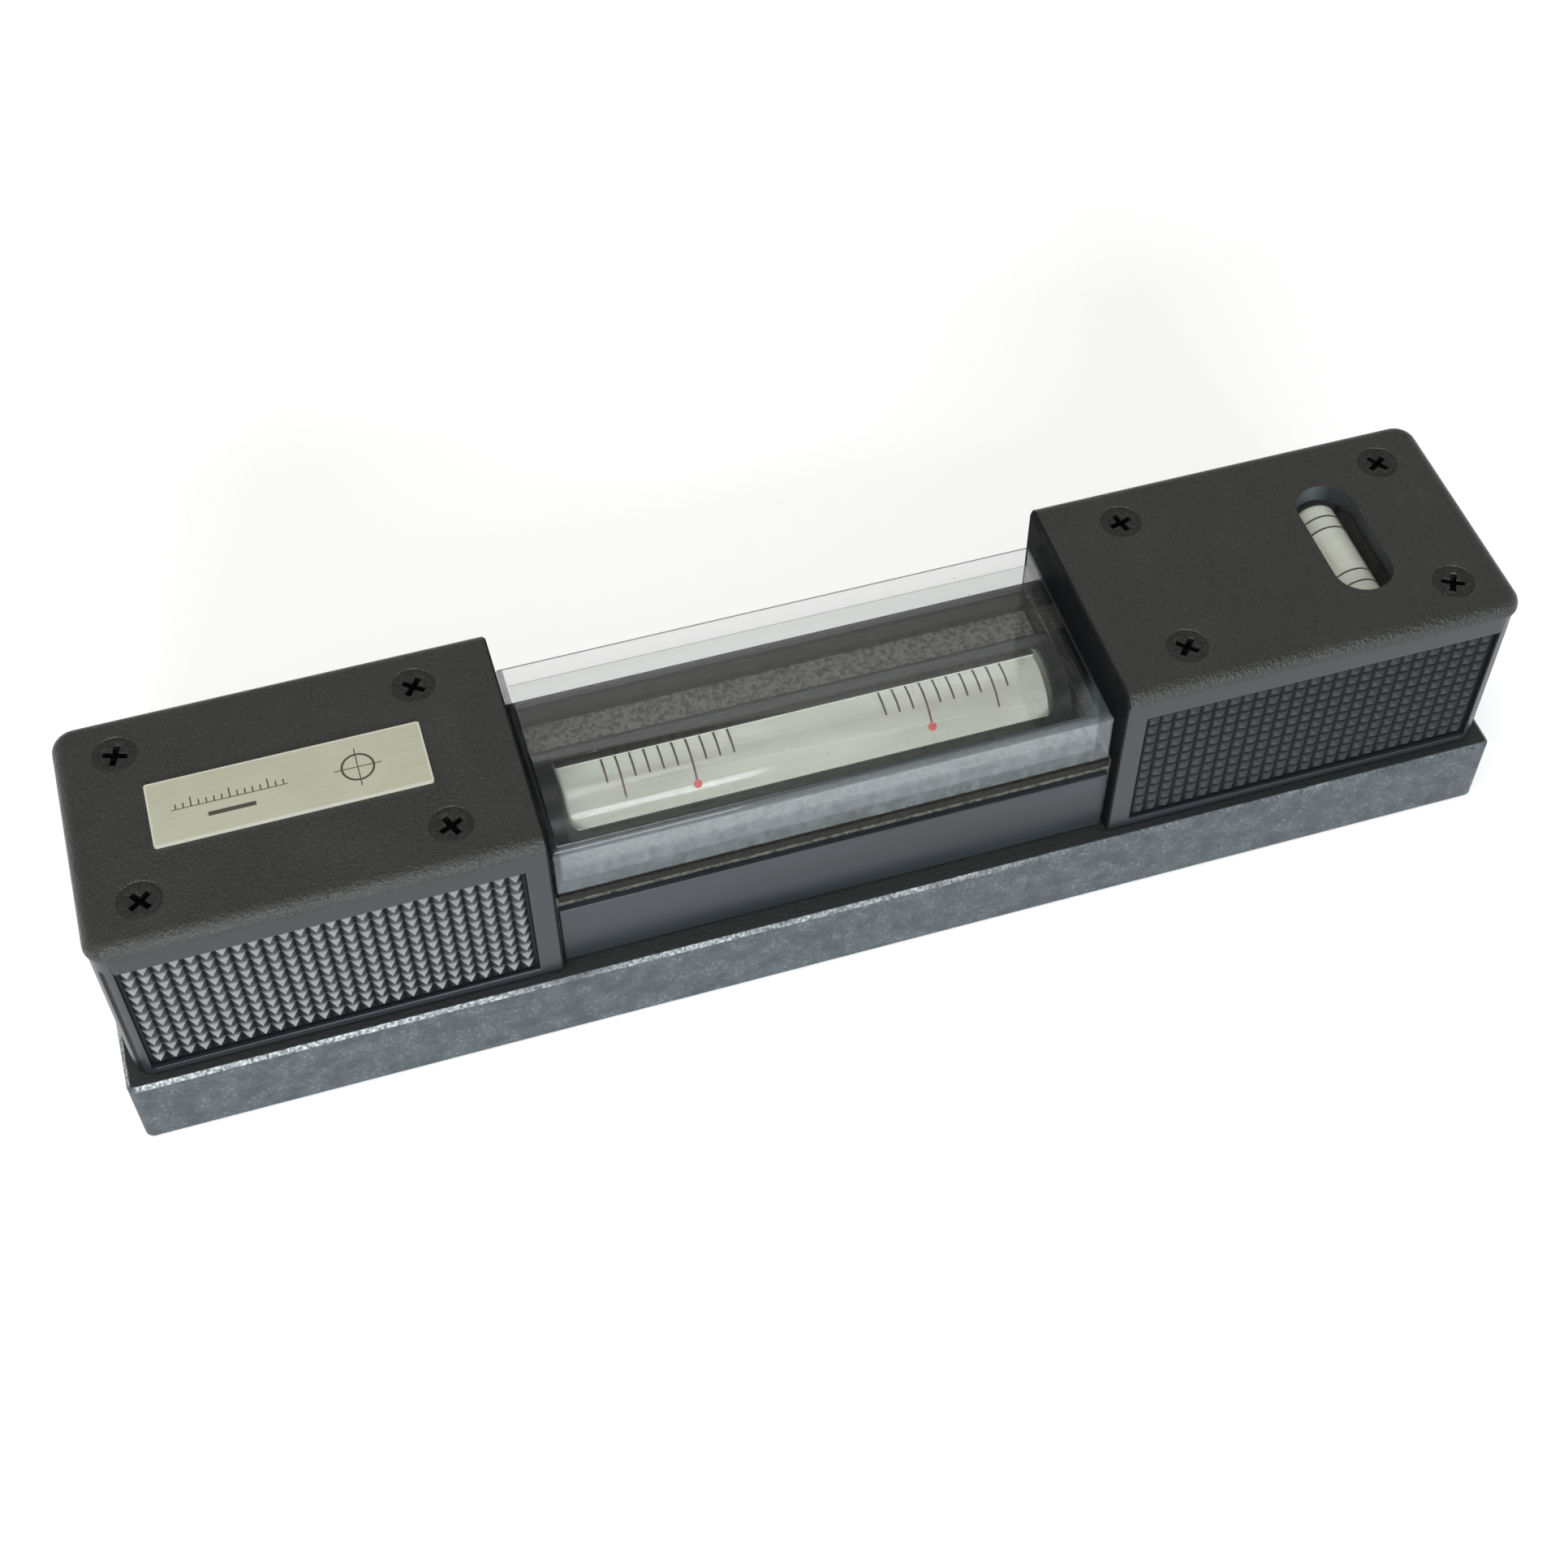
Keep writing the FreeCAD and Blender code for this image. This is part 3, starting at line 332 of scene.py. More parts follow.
def castingFinish():
    # mottled paint on the base, and a rough grained deck above it
    finish = Finish("cast_paint")
    x, y, z = finish.axes()
    low, high = (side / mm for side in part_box("cast_body"))
    baseTop = topBeyond("cast_body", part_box("left_grip_cap")[1].y)
    coarse = finish.noise(3.4, 4, 0.6)
    fine = finish.noise(0.5, 4, 0.7)
    speck = finish.cells(0.8)
    mottle = (0.45 * fine + 0.55 * coarse).ramp(0.38, 0.62)
    colour = finish.mix(mottle, casting["paintDark"], casting["paint"])
    colour = finish.mix(speck.ramp(0.42, 0.15) * coarse.ramp(0.4, 0.65), colour, casting["paintPale"])
    deck = finish.mix(finish.noise(0.8, 4, 0.7).ramp(0.36, 0.62), casting["deckDark"], casting["deck"])
    colour = finish.mix(z.ramp(baseTop + 1, baseTop + 2), colour, deck)

    # painted shade, partly dirt, on the ledge round the base's top where it meets the grips and strips, and
    # bare metal where its outer edge has worn
    beyond = (low.y - y).most(y - high.y).most((low.x - x).most(x - high.x))
    ledgeShadeMask = z.ramp(baseTop - 0.25, baseTop - 0.05) * z.ramp(baseTop + 1.2, baseTop + 0.9)
    colour = finish.mix(ledgeShadeMask * beyond.ramp(-0.45, -0.75), colour, casting["ledgeShade"])
    reach = beyond + z - baseTop
    patchy = (finish.noise(7, 4, 0.65, stretch=(3, 1, 1)) - 0.0016 * x).ramp(0.38, 0.6)
    worn = (reach + casting["wear"] + 0.4 * (fine - 0.5)).ramp(-0.06, 0.08) * (0.12 + 0.88 * patchy)
    worn = worn * z.ramp(baseTop - 1.1, baseTop - 0.7) * z.ramp(baseTop + 0.3, baseTop + 0.1)
    colour = finish.mix(worn, colour, casting["bare"])
    relief = finish.bump(fine + 0.6 * coarse + 0.5 * speck.ramp(0.1, 0.6), 0.1, 0.5)
    shader = finish.principled(Base_Color=colour, Roughness=0.52 - 0.14 * worn, Normal=relief,
                               Metallic=0.3 * worn)
    return finish.done(shader)


grip = {
    "black": tint(38, 39, 36),
    "dust": tint(54, 55, 52),
    "side": tint(38, 42, 46),
    "paintedShade": tint(26, 27, 28),
    # the colour of the painted shade between the pyramids and on the inner end walls
    "slotWall": tint(84, 90, 92),
    "grain": 0.34,
    "rimStep": 0.25,
    "pitDepth": 0.42,
}


def gripFinish():
    # grained top and rim, smooth sides, painted shade between the pyramids and on the hidden end walls
    finish = Finish("grip_moulding")
    x, y, z = finish.axes()
    low, high = (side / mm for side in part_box("right_grip_cap"))
    level = abs(finish.facing("Z"))
    inside = (high.y - 4 - abs(y)).ramp(0, 1) * level.ramp(0.7, 0.3)
    textured = z.ramp(high.z - 2.4, high.z - 1.9) * (1 - inside)
    grain = finish.noise(grip["grain"], 3, 0.6)
    pebble = finish.cells(grip["grain"] * 1.5, "SMOOTH_F1")
    patches = finish.noise(14, 3, 0.6)
    tone = grain.ramp(0.42, 0.72) * 0.7 + patches.ramp(0.4, 0.75) * 0.3
    colour = finish.mix(tone, grip["black"], grip["dust"])
    colour = finish.mix(textured, grip["side"], colour)
    pale = inside * z.ramp(high.z - 3, high.z - 2.6) * finish.facing("X").ramp(-0.6, 0.1)
    colour = finish.mix(pale, colour, grip["slotWall"])
    relief = finish.bump((grain + pebble * 0.7) * textured, 0.24, 0.8)
    smooth = finish.bump(finish.noise(1.4, 2), 0.01, 0.3, relief)
    rim = level.ramp(0.1, 0.3) * level.ramp(0.98, 0.8) * textured
    rough = 0.26 + 0.18 * textured - 0.16 * rim + 0.08 * finish.noise(6, 3)
    plastic = finish.principled(Base_Color=colour, Roughness=rough, Normal=smooth)

    # painted shade: darker in the pits between the pyramids on the side panels, and on the cap's inner end
    # walls
    side = high.y - grip["rimStep"]
    depth = side - abs(y)
    onPanel = z.ramp(high.z - 5.0, high.z - 5.4)
    pitShade = depth.ramp(grip["pitDepth"], grip["pitDepth"] + 0.3) * depth.ramp(1.2, 1.1) * onPanel
    endWall = (abs(x) - low.x).ramp(0.5, 0.2)
    dull = finish.add("BsdfDiffuse", None, {"Color": grip["paintedShade"]})
    return finish.done(finish.blend((0.75 * pitShade).most(0.9 * endWall), plastic, dull))


screw = {
    "oxide": (tint(36, 36, 34), tint(54, 54, 52)),
    # the colour of the painted shade in the cross recess
    "paintedShade": tint(12, 12, 12),
    "crossReach": 1.65,
    "crossHalf": 0.42,
    "crossDepth": 1.3,
    "crossTaper": 0.62,
    "crossPoint": 0.15,
    "dish": 0.12,
    "edge": 0.12,
    "shank": 0.52,
    "turns": (24, 52, 38, 71, 47, 15, 62, 33),
}


def screwFinish():
    # blackened heads, with painted shade down in the cross recess
    finish = Finish("black_oxide")
    x, y, z = finish.axes()
    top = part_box("left_grip_inner_front_screw")[1].z / mm
    grain = finish.noise(0.5, 3, 0.6)
    colour = finish.mix(grain.ramp(0.4, 0.7), *screw["oxide"])
    relief = finish.bump(finish.noise(0.3, 2), 0.02, 0.5)
    metal = finish.principled(Base_Color=colour, Roughness=0.34 + 0.2 * grain, Normal=relief, Metallic=0.2)
    # below the head's top the cross recess is painted dark: painted shade
    paintedShade = finish.add("BsdfDiffuse", None, {"Color": screw["paintedShade"]})
    return finish.done(finish.blend(z.ramp(top - 0.2, top - 0.32) * 0.95, metal, paintedShade))


plate = {
    "face": tint(200, 200, 178),
    "brushed": tint(184, 184, 160),
    "border": tint(216, 216, 200),
    "ink": tint(58, 56, 48),
    "line": 0.14,
    "tickPitch": 1.0,
    "scaleHalf": 7.6,
    "barDrop": 1.9,
    "barHalf": (3.1, 0.34),
    "ringSize": 2.1,
    "ringLine": 0.16,
    "hairLine": 0.08,
    "hairReach": 3.1,
}


def plateFinish():
    # pale anodised face; the print is a ruled scale with a bar under it and a ring beside it
    finish = Finish("plate_face")
    x, y, z = finish.axes()
    centre = middle("name_plate") / mm
    half = sizeOf("name_plate") / mm / 2
    u, v = x - centre.x, y - centre.y
    soft = 0.05

    ruled = u + half.x * 0.42
    pitch = plate["tickPitch"]
    wave = finish.add("Math", {"operation": "PINGPONG"}, {0: ruled, 1: pitch / 2})
    long = finish.add("Math", {"operation": "PINGPONG"}, {0: ruled, 1: pitch * 2.5})
    reach = 0.9 + 0.7 * long.ramp(0.3, 0.2)
    ticks = wave.ramp(plate["line"] / 2 + soft, plate["line"] / 2) * ruled.within(plate["scaleHalf"], soft)
    ticks = ticks * v.ramp(-0.05, 0.05) * (reach - v).ramp(-soft, soft)
    rail = v.within(plate["line"] / 2, soft) * ruled.within(plate["scaleHalf"], soft)
    barLength, barWidth = plate["barHalf"]
    bar = (v + plate["barDrop"]).within(barWidth, soft) * ruled.within(barLength, soft)
    across = u - half.x * 0.5
    ringRadius = (across * across + v * v) ** 0.5
    ring = (ringRadius - plate["ringSize"]).within(plate["ringLine"], soft)
    hairs = v.within(plate["hairLine"], soft).most(across.within(plate["hairLine"], soft))
    cross = hairs * ringRadius.ramp(plate["hairReach"] + 0.1, plate["hairReach"])
    ink = ticks.most(rail).most(bar).most(ring).most(cross)

    brushed = finish.noise(0.5, 3, 0.6, stretch=(24, 0.5, 1))
    blotch = finish.noise(7, 3)
    streaks = brushed.ramp(0.3, 0.7) * 0.5 + blotch.ramp(0.35, 0.7) * 0.3
    face = finish.mix(streaks, plate["face"], plate["brushed"])
    border = u.within(half.x - 0.25, 0.1).least(v.within(half.y - 0.25, 0.1))
    face = finish.mix(border, plate["border"], face)
    colour = finish.mix(ink * 0.92, face, plate["ink"])
    return finish.done(finish.principled(Base_Color=colour, Roughness=0.42 + 0.12 * brushed,
                                         Metallic=0.25, Normal=finish.bump(brushed, 0.01, 0.4)))


cover = {
    "clear": (0.985, 0.99, 0.988, 1.0),
    # a pale film on the front wall: partly dust, partly a painted reflection of the pale floor in front
    "dustAndReflection": tint(156, 164, 168),
    # the colour of the painted dark lines on the rounded edges, where the clear plastic bends light
    "edge": tint(70, 76, 78),
    "wallDustAndReflection": 0.4,
    "bend": 0.06,
}


def coverFinish():
    # clear moulding: mostly thin and straight, a little refraction, painted dark lines on the rounded
    # edges where the clear plastic bends light, and a pale front wall film, partly dust and partly painted
    # reflection
    finish = Finish("clear_cover")
    x, y, z = finish.axes()
    level = abs(finish.facing("Z"))
    # the front wall gets a pale film that is partly dust and partly painted reflection; the scattered specks
    # are dust
    front = y.ramp(-6, -12) * level.ramp(0.7, 0.2)
    cloud = finish.noise(1.6, 4, 0.75, stretch=(1, 1, 2))
    specks = finish.cells(5.5).ramp(0.035, 0.02)
    dustAndReflection = cover["wallDustAndReflection"] * front * (0.4 + 0.6 * cloud.ramp(0.3, 0.75)) + 0.6 * specks
    scuff = finish.bump(finish.noise(9, 2), 0.01, 0.15)
    glass = finish.principled(Base_Color=cover["clear"], Roughness=0.02, IOR=1.49,
                              Transmission_Weight=1.0, Normal=scuff)
    straight = finish.add("BsdfTransparent", None, {"Color": cover["clear"]})
    gloss = finish.add("BsdfGlossy", None, {"Color": (1, 1, 1, 1), "Roughness": 0.03, "Normal": scuff})
    clear = finish.blend(cover["bend"], finish.blend(finish.mirrorShare(), straight, gloss), glass)
    dustAndReflectionFilm = finish.add("BsdfDiffuse", None, {"Color": cover["dustAndReflection"]})
    # painted dark lines on the bevelled edges stand in for light bent at the rounded clear edges
    edge = finish.add("BsdfDiffuse", None, {"Color": cover["edge"]})
    broken = level.ramp(0.15, 0.3) * level.ramp(0.97, 0.85)
    return finish.done(finish.blend(0.6 * broken, finish.blend(dustAndReflection.least(1), clear, dustAndReflectionFilm), edge))


trim = {
    "seal": (tint(14, 13, 12), tint(34, 31, 26)),
    "slate": (tint(36, 40, 44), tint(48, 52, 57)),
    "tube": (tint(16, 17, 17), tint(44, 45, 43)),
    "steel": (tint(150, 150, 148), tint(190, 190, 188)),
    "holder": (tint(26, 26, 26), tint(44, 42, 40)),
}


def gasketFinish():
    # dull, finely grained rubber
    finish = Finish("seal_rubber")
    grain = finish.noise(0.6, 3, 0.6)
    colour = finish.mix(grain.ramp(0.3, 0.7), *trim["seal"])
    return finish.done(finish.principled(Base_Color=colour, Roughness=0.7, Specular_IOR_Level=0.3,
                                         Normal=finish.bump(grain, 0.04, 0.5)))


def stripFinish():
    # smooth slate plastic that drifts a little in tone
    finish = Finish("slate_strip")
    drift = finish.noise(18, 2, stretch=(3, 1, 0.6))
    fine = finish.noise(0.5, 2)
    colour = finish.mix(drift.ramp(0.3, 0.7), *trim["slate"])
    return finish.done(finish.principled(Base_Color=colour, Roughness=0.34 + 0.1 * fine,
                                         Normal=finish.bump(fine, 0.008, 0.4)))


def tubeFinish():
    # black enamel with a gentle ripple and a little dust
    finish = Finish("tube_enamel")
    ripple = finish.noise(3, 2, stretch=(2, 1, 1))
    dust = finish.noise(0.5, 3, 0.7).ramp(0.6, 0.8)
    colour = finish.mix(dust * 0.4, *trim["tube"])
    return finish.done(finish.principled(Base_Color=colour, Roughness=0.26 + 0.12 * ripple,
                                         Specular_IOR_Level=0.25, Normal=finish.bump(ripple, 0.015, 0.4)))


vialLook = {
    "enamel": (tint(222, 223, 213), tint(236, 237, 230)),
    "cutEdge": tint(34, 34, 32),
    "ground": (tint(216, 218, 206), tint(228, 230, 221)),
    "bubble": tint(132, 134, 122),
    "lineInk": (tint(62, 48, 46), tint(88, 66, 63)),
    "redInk": (tint(166, 58, 56), tint(186, 82, 78)),
    "ringInk": (tint(52, 50, 48), tint(74, 70, 66)),
}


def enamelFinish(name, centre, along, inner):
    # white inside, dark on the outside and on the cut edges of the half shell
    finish = Finish(name)
    cloud = finish.noise(8, 3, stretch=(3, 1, 1))
    x, y, z = finish.axes()
    across = (x - centre.x / mm) if along == "Y" else (y - centre.y / mm)
    up = z - centre.z / mm
    radius = (across * across + up * up) ** 0.5
    colour = finish.mix(cloud.ramp(0.3, 0.7), *vialLook["enamel"])
    colour = finish.mix(radius.ramp(inner + 0.03, inner + 0.1), colour, vialLook["cutEdge"])
    return finish.done(finish.principled(Base_Color=colour, Roughness=0.4,
                                         Normal=finish.bump(cloud, 0.02, 0.3)))


def glassFinish(name, milk):
    # ground vial: clear, with a milky share and with gloss that grows toward its edges
    finish = Finish(name)
    ripple = finish.bump(finish.noise(5, 2, stretch=(3, 1, 1)), 0.006, 0.2)
    clear = finish.add("BsdfTransparent", None, {"Color": (1, 1, 1, 1)})
    cloud = finish.noise(6, 3, stretch=(3, 1, 1))
    tone = finish.mix(cloud.ramp(0.3, 0.7), *vialLook["ground"])
    ground = finish.principled(Base_Color=tone, Roughness=0.8, Specular_IOR_Level=0.0)
    body = finish.blend(milk * (0.8 + 0.4 * cloud), clear, ground)
    gloss = finish.add("BsdfGlossy", None, {"Color": (1, 1, 1, 1), "Roughness": 0.05, "Normal": ripple})
    return finish.done(finish.blend(finish.mirrorShare(), body, gloss))


def spiritFinish():
    # clear liquid with a weak gloss
    finish = Finish("vial_spirit")
    clear = finish.add("BsdfTransparent", None, {"Color": (0.98, 0.985, 0.97, 1.0)})
    gloss = finish.add("BsdfGlossy", None, {"Color": (1.0, 1.0, 1.0, 1.0), "Roughness": 0.08})
    return finish.done(finish.blend(0.25 * finish.mirrorShare(), clear, gloss))


def bubbleFinish():
    # the bubble's edge shows as a faint darker line
    finish = Finish("bubble_edge")
    clear = finish.add("BsdfTransparent", None, {"Color": (1.0, 1.0, 1.0, 1.0)})
    line = finish.principled(Base_Color=vialLook["bubble"], Roughness=0.2)
    return finish.done(finish.blend(0.25 + 0.2 * finish.noise(3, 2), clear, line))


def inkFinish(name, colour, pale):
    # ink that is paler in places
    finish = Finish(name)
    grain = finish.noise(0.25, 2)
    tone = finish.mix(grain.ramp(0.3, 0.7), colour, pale)
    return finish.done(finish.principled(Base_Color=tone, Roughness=0.5))


def steelFinish():
    # bright steel with fine turning lines
    finish = Finish("turned_steel")
    lines = finish.noise(0.25, 2, stretch=(6, 1, 1))
    colour = finish.mix(lines.ramp(0.3, 0.7), *trim["steel"])
    return finish.done(finish.principled(Base_Color=colour, Metallic=1.0, Roughness=0.3 + 0.12 * lines,
                                         Normal=finish.bump(lines, 0.01, 0.4)))


def holderFinish():
    # black moulding, seen only down in the slot
    finish = Finish("holder_moulding")
    grain = finish.noise(0.6, 3)
    colour = finish.mix(grain.ramp(0.3, 0.7), *trim["holder"])
    return finish.done(finish.principled(Base_Color=colour, Roughness=0.5,
                                         Normal=finish.bump(grain, 0.03, 0.5)))


smoothCopy("cast_body", castingFinish())
gripMaterial = gripFinish()
for hand in ("left", "right"):
    smoothCopy(hand + "_grip_cap", gripMaterial, edge=0.25)
stripMaterial = stripFinish()
for side in ("front", "rear"):
    smoothCopy(side + "_side_panel", stripMaterial)
smoothCopy("cover_gasket", gasketFinish(), edge=0.15)
smoothCopy("name_plate", plateFinish(), edge=0.06, shortest=0.1)
print("casting, grips and trim")


def crossOutline(angle, reach, half):
    # how far a plus-shaped outline lies from its centre, t from its nearest arm:
    # the smaller of reach / cos t, the arm's end, and half / sin t, the arm's side
    turn = np.abs((angle + np.pi / 4) % (np.pi / 2) - np.pi / 4)
    return np.minimum(reach / np.cos(turn), half / np.maximum(np.sin(turn), 1e-9))


def grooveScrew(name, node, turn, material):
    # one skin from the shank's tip over the head into the cross recess: for each step of the profile
    # a ring centre + radius * (cos a, sin a) at its height, round at first, plus-shaped in the recess
    low, high = (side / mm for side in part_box(node))
    centre = middle(node) / mm
    head = (high.x - low.x) / 2
    shank = head * screw["shank"]
    corner = math.atan2(screw["crossHalf"], screw["crossReach"])
    armEnd = np.linspace(-corner, corner, 5)
    between = np.linspace(corner, np.pi / 2 - corner, 9)[1:-1]
    quarter = np.concatenate([armEnd, between])
    angle = np.concatenate([quarter + k * np.pi / 2 for k in range(4)])
    cross = crossOutline(angle, screw["crossReach"], screw["crossHalf"])
    edge, top = screw["edge"], high.z
    circles = [(0, low.z), (shank, low.z), (shank, top - head + shank), (head, top - 0.12),
               (head - edge * 0.3, top - 0.03), (head - edge, top)]
    rings = [(radius + 0 * angle, height) for radius, height in circles]
    rings += [(0.5 * (head - edge) + 0.5 * cross, top - screw["dish"] * 0.2),
              (cross + 0.1, top - screw["dish"]), (cross, top - screw["dish"] - 0.1),
              (cross * screw["crossTaper"], top - screw["crossDepth"]),
              (0 * angle, top - screw["crossDepth"] - screw["crossPoint"])]
    radius = np.array([ring[0] for ring in rings])
    height = np.array([ring[1] for ring in rings])[:, None] + 0 * radius
    spin = angle[None, :] + math.radians(turn)
    points = np.stack([centre.x + radius * np.cos(spin), centre.y + radius * np.sin(spin), height], axis=-1)
    mesh = gridMesh(name, points * mm, closeColumns=True)
    newPiece(name, mesh, "level_body", material, [node], 25)


screwMaterial = screwFinish()
turns = iter(screw["turns"])
for node in sorted(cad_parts):
    if node.endswith("_screw") and "grip" in node:
        grooveScrew(node + "_crossed", node, next(turns), screwMaterial)
steelMaterial = steelFinish()
for node in ("pivot_pin", "retaining_ring"):
    smoothCopy(node, steelMaterial)
for node in ("pivot_end_plug", "adjusting_end_plug"):
    smoothCopy(node, steelMaterial, "vial_assembly")
smoothCopy("adjusting_screw", steelMaterial, "adjusting_screw")
print("screws and steel parts")


coverPiece = smoothCopy("vial_cover", coverFinish(), edge=0.25, inner=True)
coverPiece.visible_shadow = False  # lamp light goes straight through clear pieces
smoothCopy("vial_tube", tubeFinish(), "vial_assembly")

mainVial = {
    "radius": 6.5,
    "seat": 0.1,
    "bore": 5.5,
    "endRound": 0.5,
    "endWall": 0.3,
    "milk": 0.42,
    "tickPitch": 2.0,
    "tickStart": 11.0,
    "tickCount": 10,
    "tickShift": 0.5,
    "tickWidth": 0.29,
    "inkLift": 0.01,
    "inkDepth": 0.03,
    "dotLift": 0.05,
    "shortTick": (18, -22),
    "longTick": (33, -45),
    "longTicks": (3, 8),
    "dotTick": 3,
    "dotAngle": -49,
    "dotSize": 0.62,
    "bubbleHalf": 11.0,
    "bubbleShift": 0.5,
    "bubbleWidth": 3.3,
    "bubbleEdge": 0.07,
}
vialCentre = middle("main_vial_glass")
glassMaterial = glassFinish("vial_glass", mainVial["milk"])
spiritMaterial = spiritFinish()
bubbleMaterial = bubbleFinish()
inner = mainVial["radius"] + mainVial["seat"]
smoothCopy("main_vial_reflector", enamelFinish("white_enamel", vialCentre, "X", inner),
           "vial_assembly")


def vialPoint(x, turn, radius):
    # a point x mm along the vial and turn degrees from straight up, positive to the rear:
    # (x, radius * sin turn, radius * cos turn)
    angle = np.radians(turn)
    return np.stack([x + 0 * angle, radius * np.sin(angle) + 0 * x, radius * np.cos(angle) + 0 * x], axis=-1)


def markMesh(name, along, turn, radius, thickness):
    # a closed thin patch of the vial's surface: an outer sheet and an inner one joined at their edges
    outer, inner = (vialPoint(along, turn, radius + lift) * mm + np.array(vialCentre)
                    for lift in (thickness, 0))
    return gridMesh(name, np.concatenate([outer, inner[:, ::-1]], axis=1), closeColumns=True)


def tickMark(name, x, start, end, material):
    # a strip of the vial's surface tickWidth wide, from start to end degrees
    half = mainVial["tickWidth"] / 2
    turn = np.linspace(start, end, 28)[:, None] + np.zeros((1, 2))
    along = x + np.array([[-half, half]]) + 0 * turn
    mesh = markMesh(name, along, turn, mainVial["radius"] + mainVial["inkLift"], mainVial["inkDepth"])
    newPiece(name, mesh, "vial_assembly", material)


def roundMark(name, x, turn, material):
    # a round spot on the vial, of rings r: x + r * cos a along it and turn + r * sin a / radius round it
    ring = np.linspace(0, 1, 5)[:, None] * mainVial["dotSize"]
    around = np.linspace(0, 2 * np.pi, 28, endpoint=False)[None, :]
    along = x + ring * np.cos(around)
    swing = turn + np.degrees(ring * np.sin(around) / mainVial["radius"])
    points = vialPoint(along, swing, mainVial["radius"] + mainVial["dotLift"]) * mm + np.array(vialCentre)
    newPiece(name, gridMesh(name, points, closeColumns=True), "vial_assembly", material)


def clearPiece(name, points, body, material, instead=()):
    # a see-through piece, which casts no shadow
    piece = newPiece(name, gridMesh(name, points, closeColumns=True), body, material, instead)
    piece.visible_shadow = False


def bubbleLine(half, width, bore, thickness, centre, axis="X"):
    # the bubble's edge: a thin closed tube on the bore's wall along the outline
    # (half * sign(cos a) * |cos a| ^ 0.8, width * sign(sin a) * |sin a| ^ 0.35),
    # with a circle thickness * (cos b, sin b) carried round it
    a = np.linspace(0, 2 * np.pi, 160, endpoint=False)[:, None]
    b = np.linspace(0, 2 * np.pi, 10, endpoint=False)[None, :]
    along = half * np.sign(np.cos(a)) * np.abs(np.cos(a)) ** 0.8
    aside = width * np.sign(np.sin(a)) * np.abs(np.sin(a)) ** 0.35
    along = along + thickness * np.cos(b) * np.cos(a)
    aside = aside + thickness * np.cos(b) * np.sin(a)
    up = np.sqrt(np.maximum(bore ** 2 - aside ** 2, 0)) - thickness + thickness * np.sin(b)
    parts = (along, aside, up) if axis == "X" else (aside, along, up)
    return np.stack(parts, axis=-1) * mm + np.array(centre)


halfVial = sizeOf("main_vial_glass").x / mm / 2
shell = turned(roundEnds(halfVial, mainVial["radius"], mainVial["endRound"]), vialCentre)
clearPiece("main_vial_ground_glass", shell, "vial_assembly", glassMaterial, ["main_vial_glass"])
filled = halfVial - mainVial["endWall"]
filling = turned(roundEnds(filled, mainVial["bore"], mainVial["endRound"]), vialCentre)
clearPiece("main_vial_spirit", filling, "vial_assembly", spiritMaterial, ["main_vial_liquid"])
bubbleCentre = vialCentre + Vector((mainVial["bubbleShift"] * mm, 0, 0))
edge = bubbleLine(mainVial["bubbleHalf"], mainVial["bubbleWidth"], mainVial["bore"], mainVial["bubbleEdge"],
                  bubbleCentre)
mesh = gridMesh("main_vial_bubble", edge, True, True)
newPiece("main_vial_bubble", mesh, "vial_assembly", bubbleMaterial).visible_shadow = False

lineInk = inkFinish("scale_ink", *vialLook["lineInk"])
redInk = inkFinish("red_ink", *vialLook["redInk"])
for way in (-1, 1):
    for k in range(mainVial["tickCount"]):
        x = mainVial["tickShift"] + way * (mainVial["tickStart"] + k * mainVial["tickPitch"])
        ends = mainVial["longTick"] if k in mainVial["longTicks"] else mainVial["shortTick"]
        side = "left" if way < 0 else "right"
        tickMark(f"scale_{side}_{k}", x, *ends, lineInk)
        if k == mainVial["dotTick"]:
            roundMark(f"scale_dot_{side}", x, mainVial["dotAngle"], redInk)
print("main vial")


crossVial = {
    "radius": 3.5,
    "seat": 0.1,
    "bore": 2.8,
    "endRound": 1.2,
    "endWall": 0.7,
    "milk": 0.62,
    "rings": (-6.4, -4.2, 4.2, 6.4),
    "ringWidth": 0.26,
    "ringFoot": 0.005,
    "ringTop": 0.03,
    "bubbleHalf": 3.7,
    "bubbleWidth": 1.7,
    "bubbleEdge": 0.06,
}
crossCentre = middle("cross_vial_glass")
halfCross = sizeOf("cross_vial_glass").y / mm / 2
smoothCopy("cross_vial_holder", holderFinish())
inner = crossVial["radius"] + crossVial["seat"]
smoothCopy("cross_vial_reflector", enamelFinish("cross_enamel", crossCentre, "Y", inner))
crossGlass = glassFinish("cross_glass", crossVial["milk"])
shell = turned(roundEnds(halfCross, crossVial["radius"], crossVial["endRound"]), crossCentre, "Y")
clearPiece("cross_vial_clear_glass", shell, "level_body", crossGlass, ["cross_vial_glass"])
filled = halfCross - crossVial["endWall"]
filling = turned(roundEnds(filled, crossVial["bore"], crossVial["endRound"]), crossCentre, "Y")
clearPiece("cross_vial_spirit", filling, "level_body", spiritMaterial, ["cross_vial_liquid"])
edge = bubbleLine(crossVial["bubbleHalf"], crossVial["bubbleWidth"], crossVial["bore"],
                  crossVial["bubbleEdge"], crossCentre, "Y")
mesh = gridMesh("cross_vial_bubble", edge, True, True)
newPiece("cross_vial_bubble", mesh, "level_body", bubbleMaterial).visible_shadow = False
darkInk = inkFinish("ring_ink", *vialLook["ringInk"])
for number, place in enumerate(crossVial["rings"]):
    half = crossVial["ringWidth"] / 2
    inner, outer = crossVial["radius"] + crossVial["ringFoot"], crossVial["radius"] + crossVial["ringTop"]
    section = [(place - half, inner), (place - half, outer), (place + half, outer), (place + half, inner)]
    band = gridMesh(f"cross_ring_{number}", turned(section, crossCentre, "Y", 64), True, True)
    newPiece(f"cross_ring_{number}", band, "level_body", darkInk)
print("cross vial")


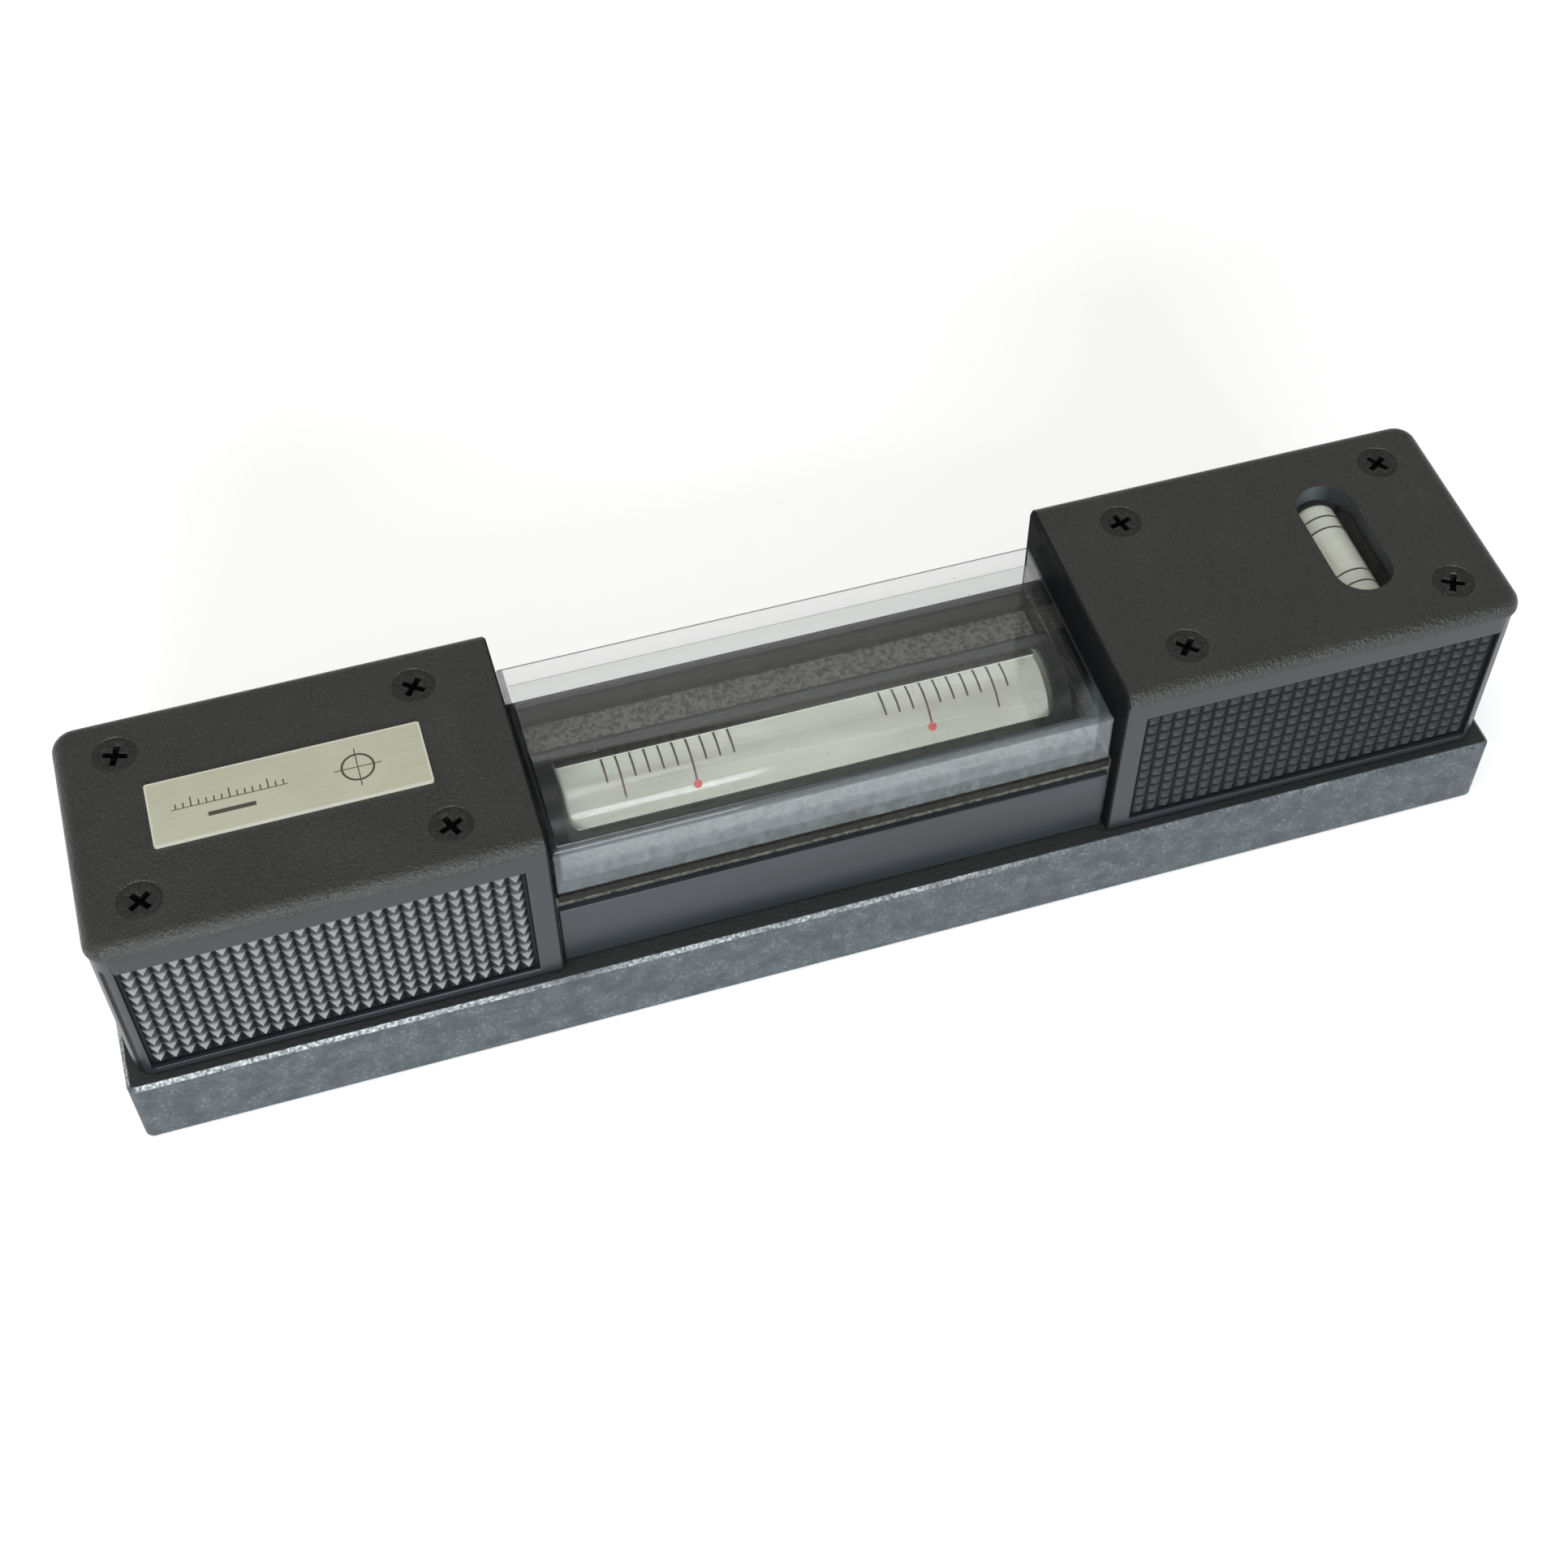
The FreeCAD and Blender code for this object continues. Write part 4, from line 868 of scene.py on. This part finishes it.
studio = {
    "floorSize": 3.0,
    "floorGap": 0.00005,
    "floorColour": (0.80, 0.80, 0.80, 1.0),
    "floorLift": 0.4,
    "dome": 0.4,
    "overhead": 0.2,
    "horizon": (0.2, 0.45),
    "lamps": {
        "key": (-140, 72, 0.95, 0.5, 0.5, 3.3, (1.0, 0.99, 0.96)),
        "front": (-100, 22, 0.85, 0.52, 0.22, 6.0, (0.92, 0.97, 1.0)),
    },
    "lens": 54.405,
    "eye": (-0.0620587, -0.1959980, 0.2874930),
    "turns": (-0.2940997, 0.6482593, -0.0040974),
}


def floorFinish():
    # pale paper; what the camera, gloss and glass see of it is lifted a little
    finish = Finish("floor_paper")
    paper = finish.add("BsdfDiffuse", None, {"Color": studio["floorColour"]})
    path = finish.add("LightPath").socket.node
    seen = Wire(finish, path.outputs["Is Camera Ray"]).most(Wire(finish, path.outputs["Is Glossy Ray"]))
    seen = seen.most(Wire(finish, path.outputs["Is Transmission Ray"]))
    lift = finish.add("Emission", None, {"Color": (1, 1, 1, 1), "Strength": seen * studio["floorLift"]})
    return finish.done(finish.add("AddShader", None, {0: paper, 1: lift}))


def worldLight():
    # an even dome; gloss sees it white low down and darker overhead, the camera and glass see white
    world = bpy.data.worlds.new("studio")
    scene.world = world
    world.use_nodes = True
    finish = Finish("studio", world.node_tree)
    height = finish.add("SeparateXYZ", None, {0: finish.add("TexCoord", out="Generated")}, out="Z")
    path = finish.add("LightPath").socket.node
    glossy = Wire(finish, path.outputs["Is Glossy Ray"])
    seen = Wire(finish, path.outputs["Is Camera Ray"]).most(Wire(finish, path.outputs["Is Transmission Ray"]))
    seen = seen.most(glossy * (1 - (1 - studio["overhead"]) * height.ramp(*studio["horizon"])))
    dome = studio["dome"] * (1 - glossy)
    sky = finish.add("Background", None, {"Color": (1, 1, 1, 1), "Strength": seen.most(dome)})
    finish.add("OutputWorld", None, {"Surface": sky})


def lamp(name, azimuth, height, distance, width, depth, power, colour):
    # an area lamp that faces the level from azimuth and height, in degrees
    light = bpy.data.lights.new(name, "AREA")
    light.shape = "RECTANGLE"
    light.size, light.size_y = width, depth
    light.energy = power
    light.color = colour
    piece = bpy.data.objects.new(name, light)
    scene.collection.objects.link(piece)
    turn, rise = math.radians(azimuth), math.radians(height)
    flat = math.cos(rise)
    place = Vector((math.cos(turn) * flat, math.sin(turn) * flat, math.sin(rise))) * distance
    piece.location = place
    piece.rotation_euler = place.to_track_quat("Z", "Y").to_euler()


half = studio["floorSize"] / 2
corners = np.array([[[-half, -half, 0], [half, -half, 0]], [[-half, half, 0], [half, half, 0]]])
corners[..., 2] = cadBox[0].z - studio["floorGap"]
floorMesh = gridMesh("floor", corners)
floor = bpy.data.objects.new("floor", floorMesh)
floorMesh.materials.append(floorFinish())
scene.collection.objects.link(floor)
worldLight()
for name, values in studio["lamps"].items():
    lamp(name, *values)

view = bpy.data.cameras.new("view")
view.lens = studio["lens"]
view.sensor_width = 36.0
view.clip_start, view.clip_end = 0.01, 20.0
camera = bpy.data.objects.new("view", view)
scene.collection.objects.link(camera)
swing, pitch, roll = studio["turns"]
aim = Matrix.Rotation(swing, 4, "Z") @ Matrix.Rotation(pitch, 4, "X") @ Matrix.Rotation(roll, 4, "Z")
camera.matrix_world = Matrix.Translation(studio["eye"]) @ aim
scene.camera = camera
scene.view_settings.view_transform = "Standard"
print("floor, light and camera")
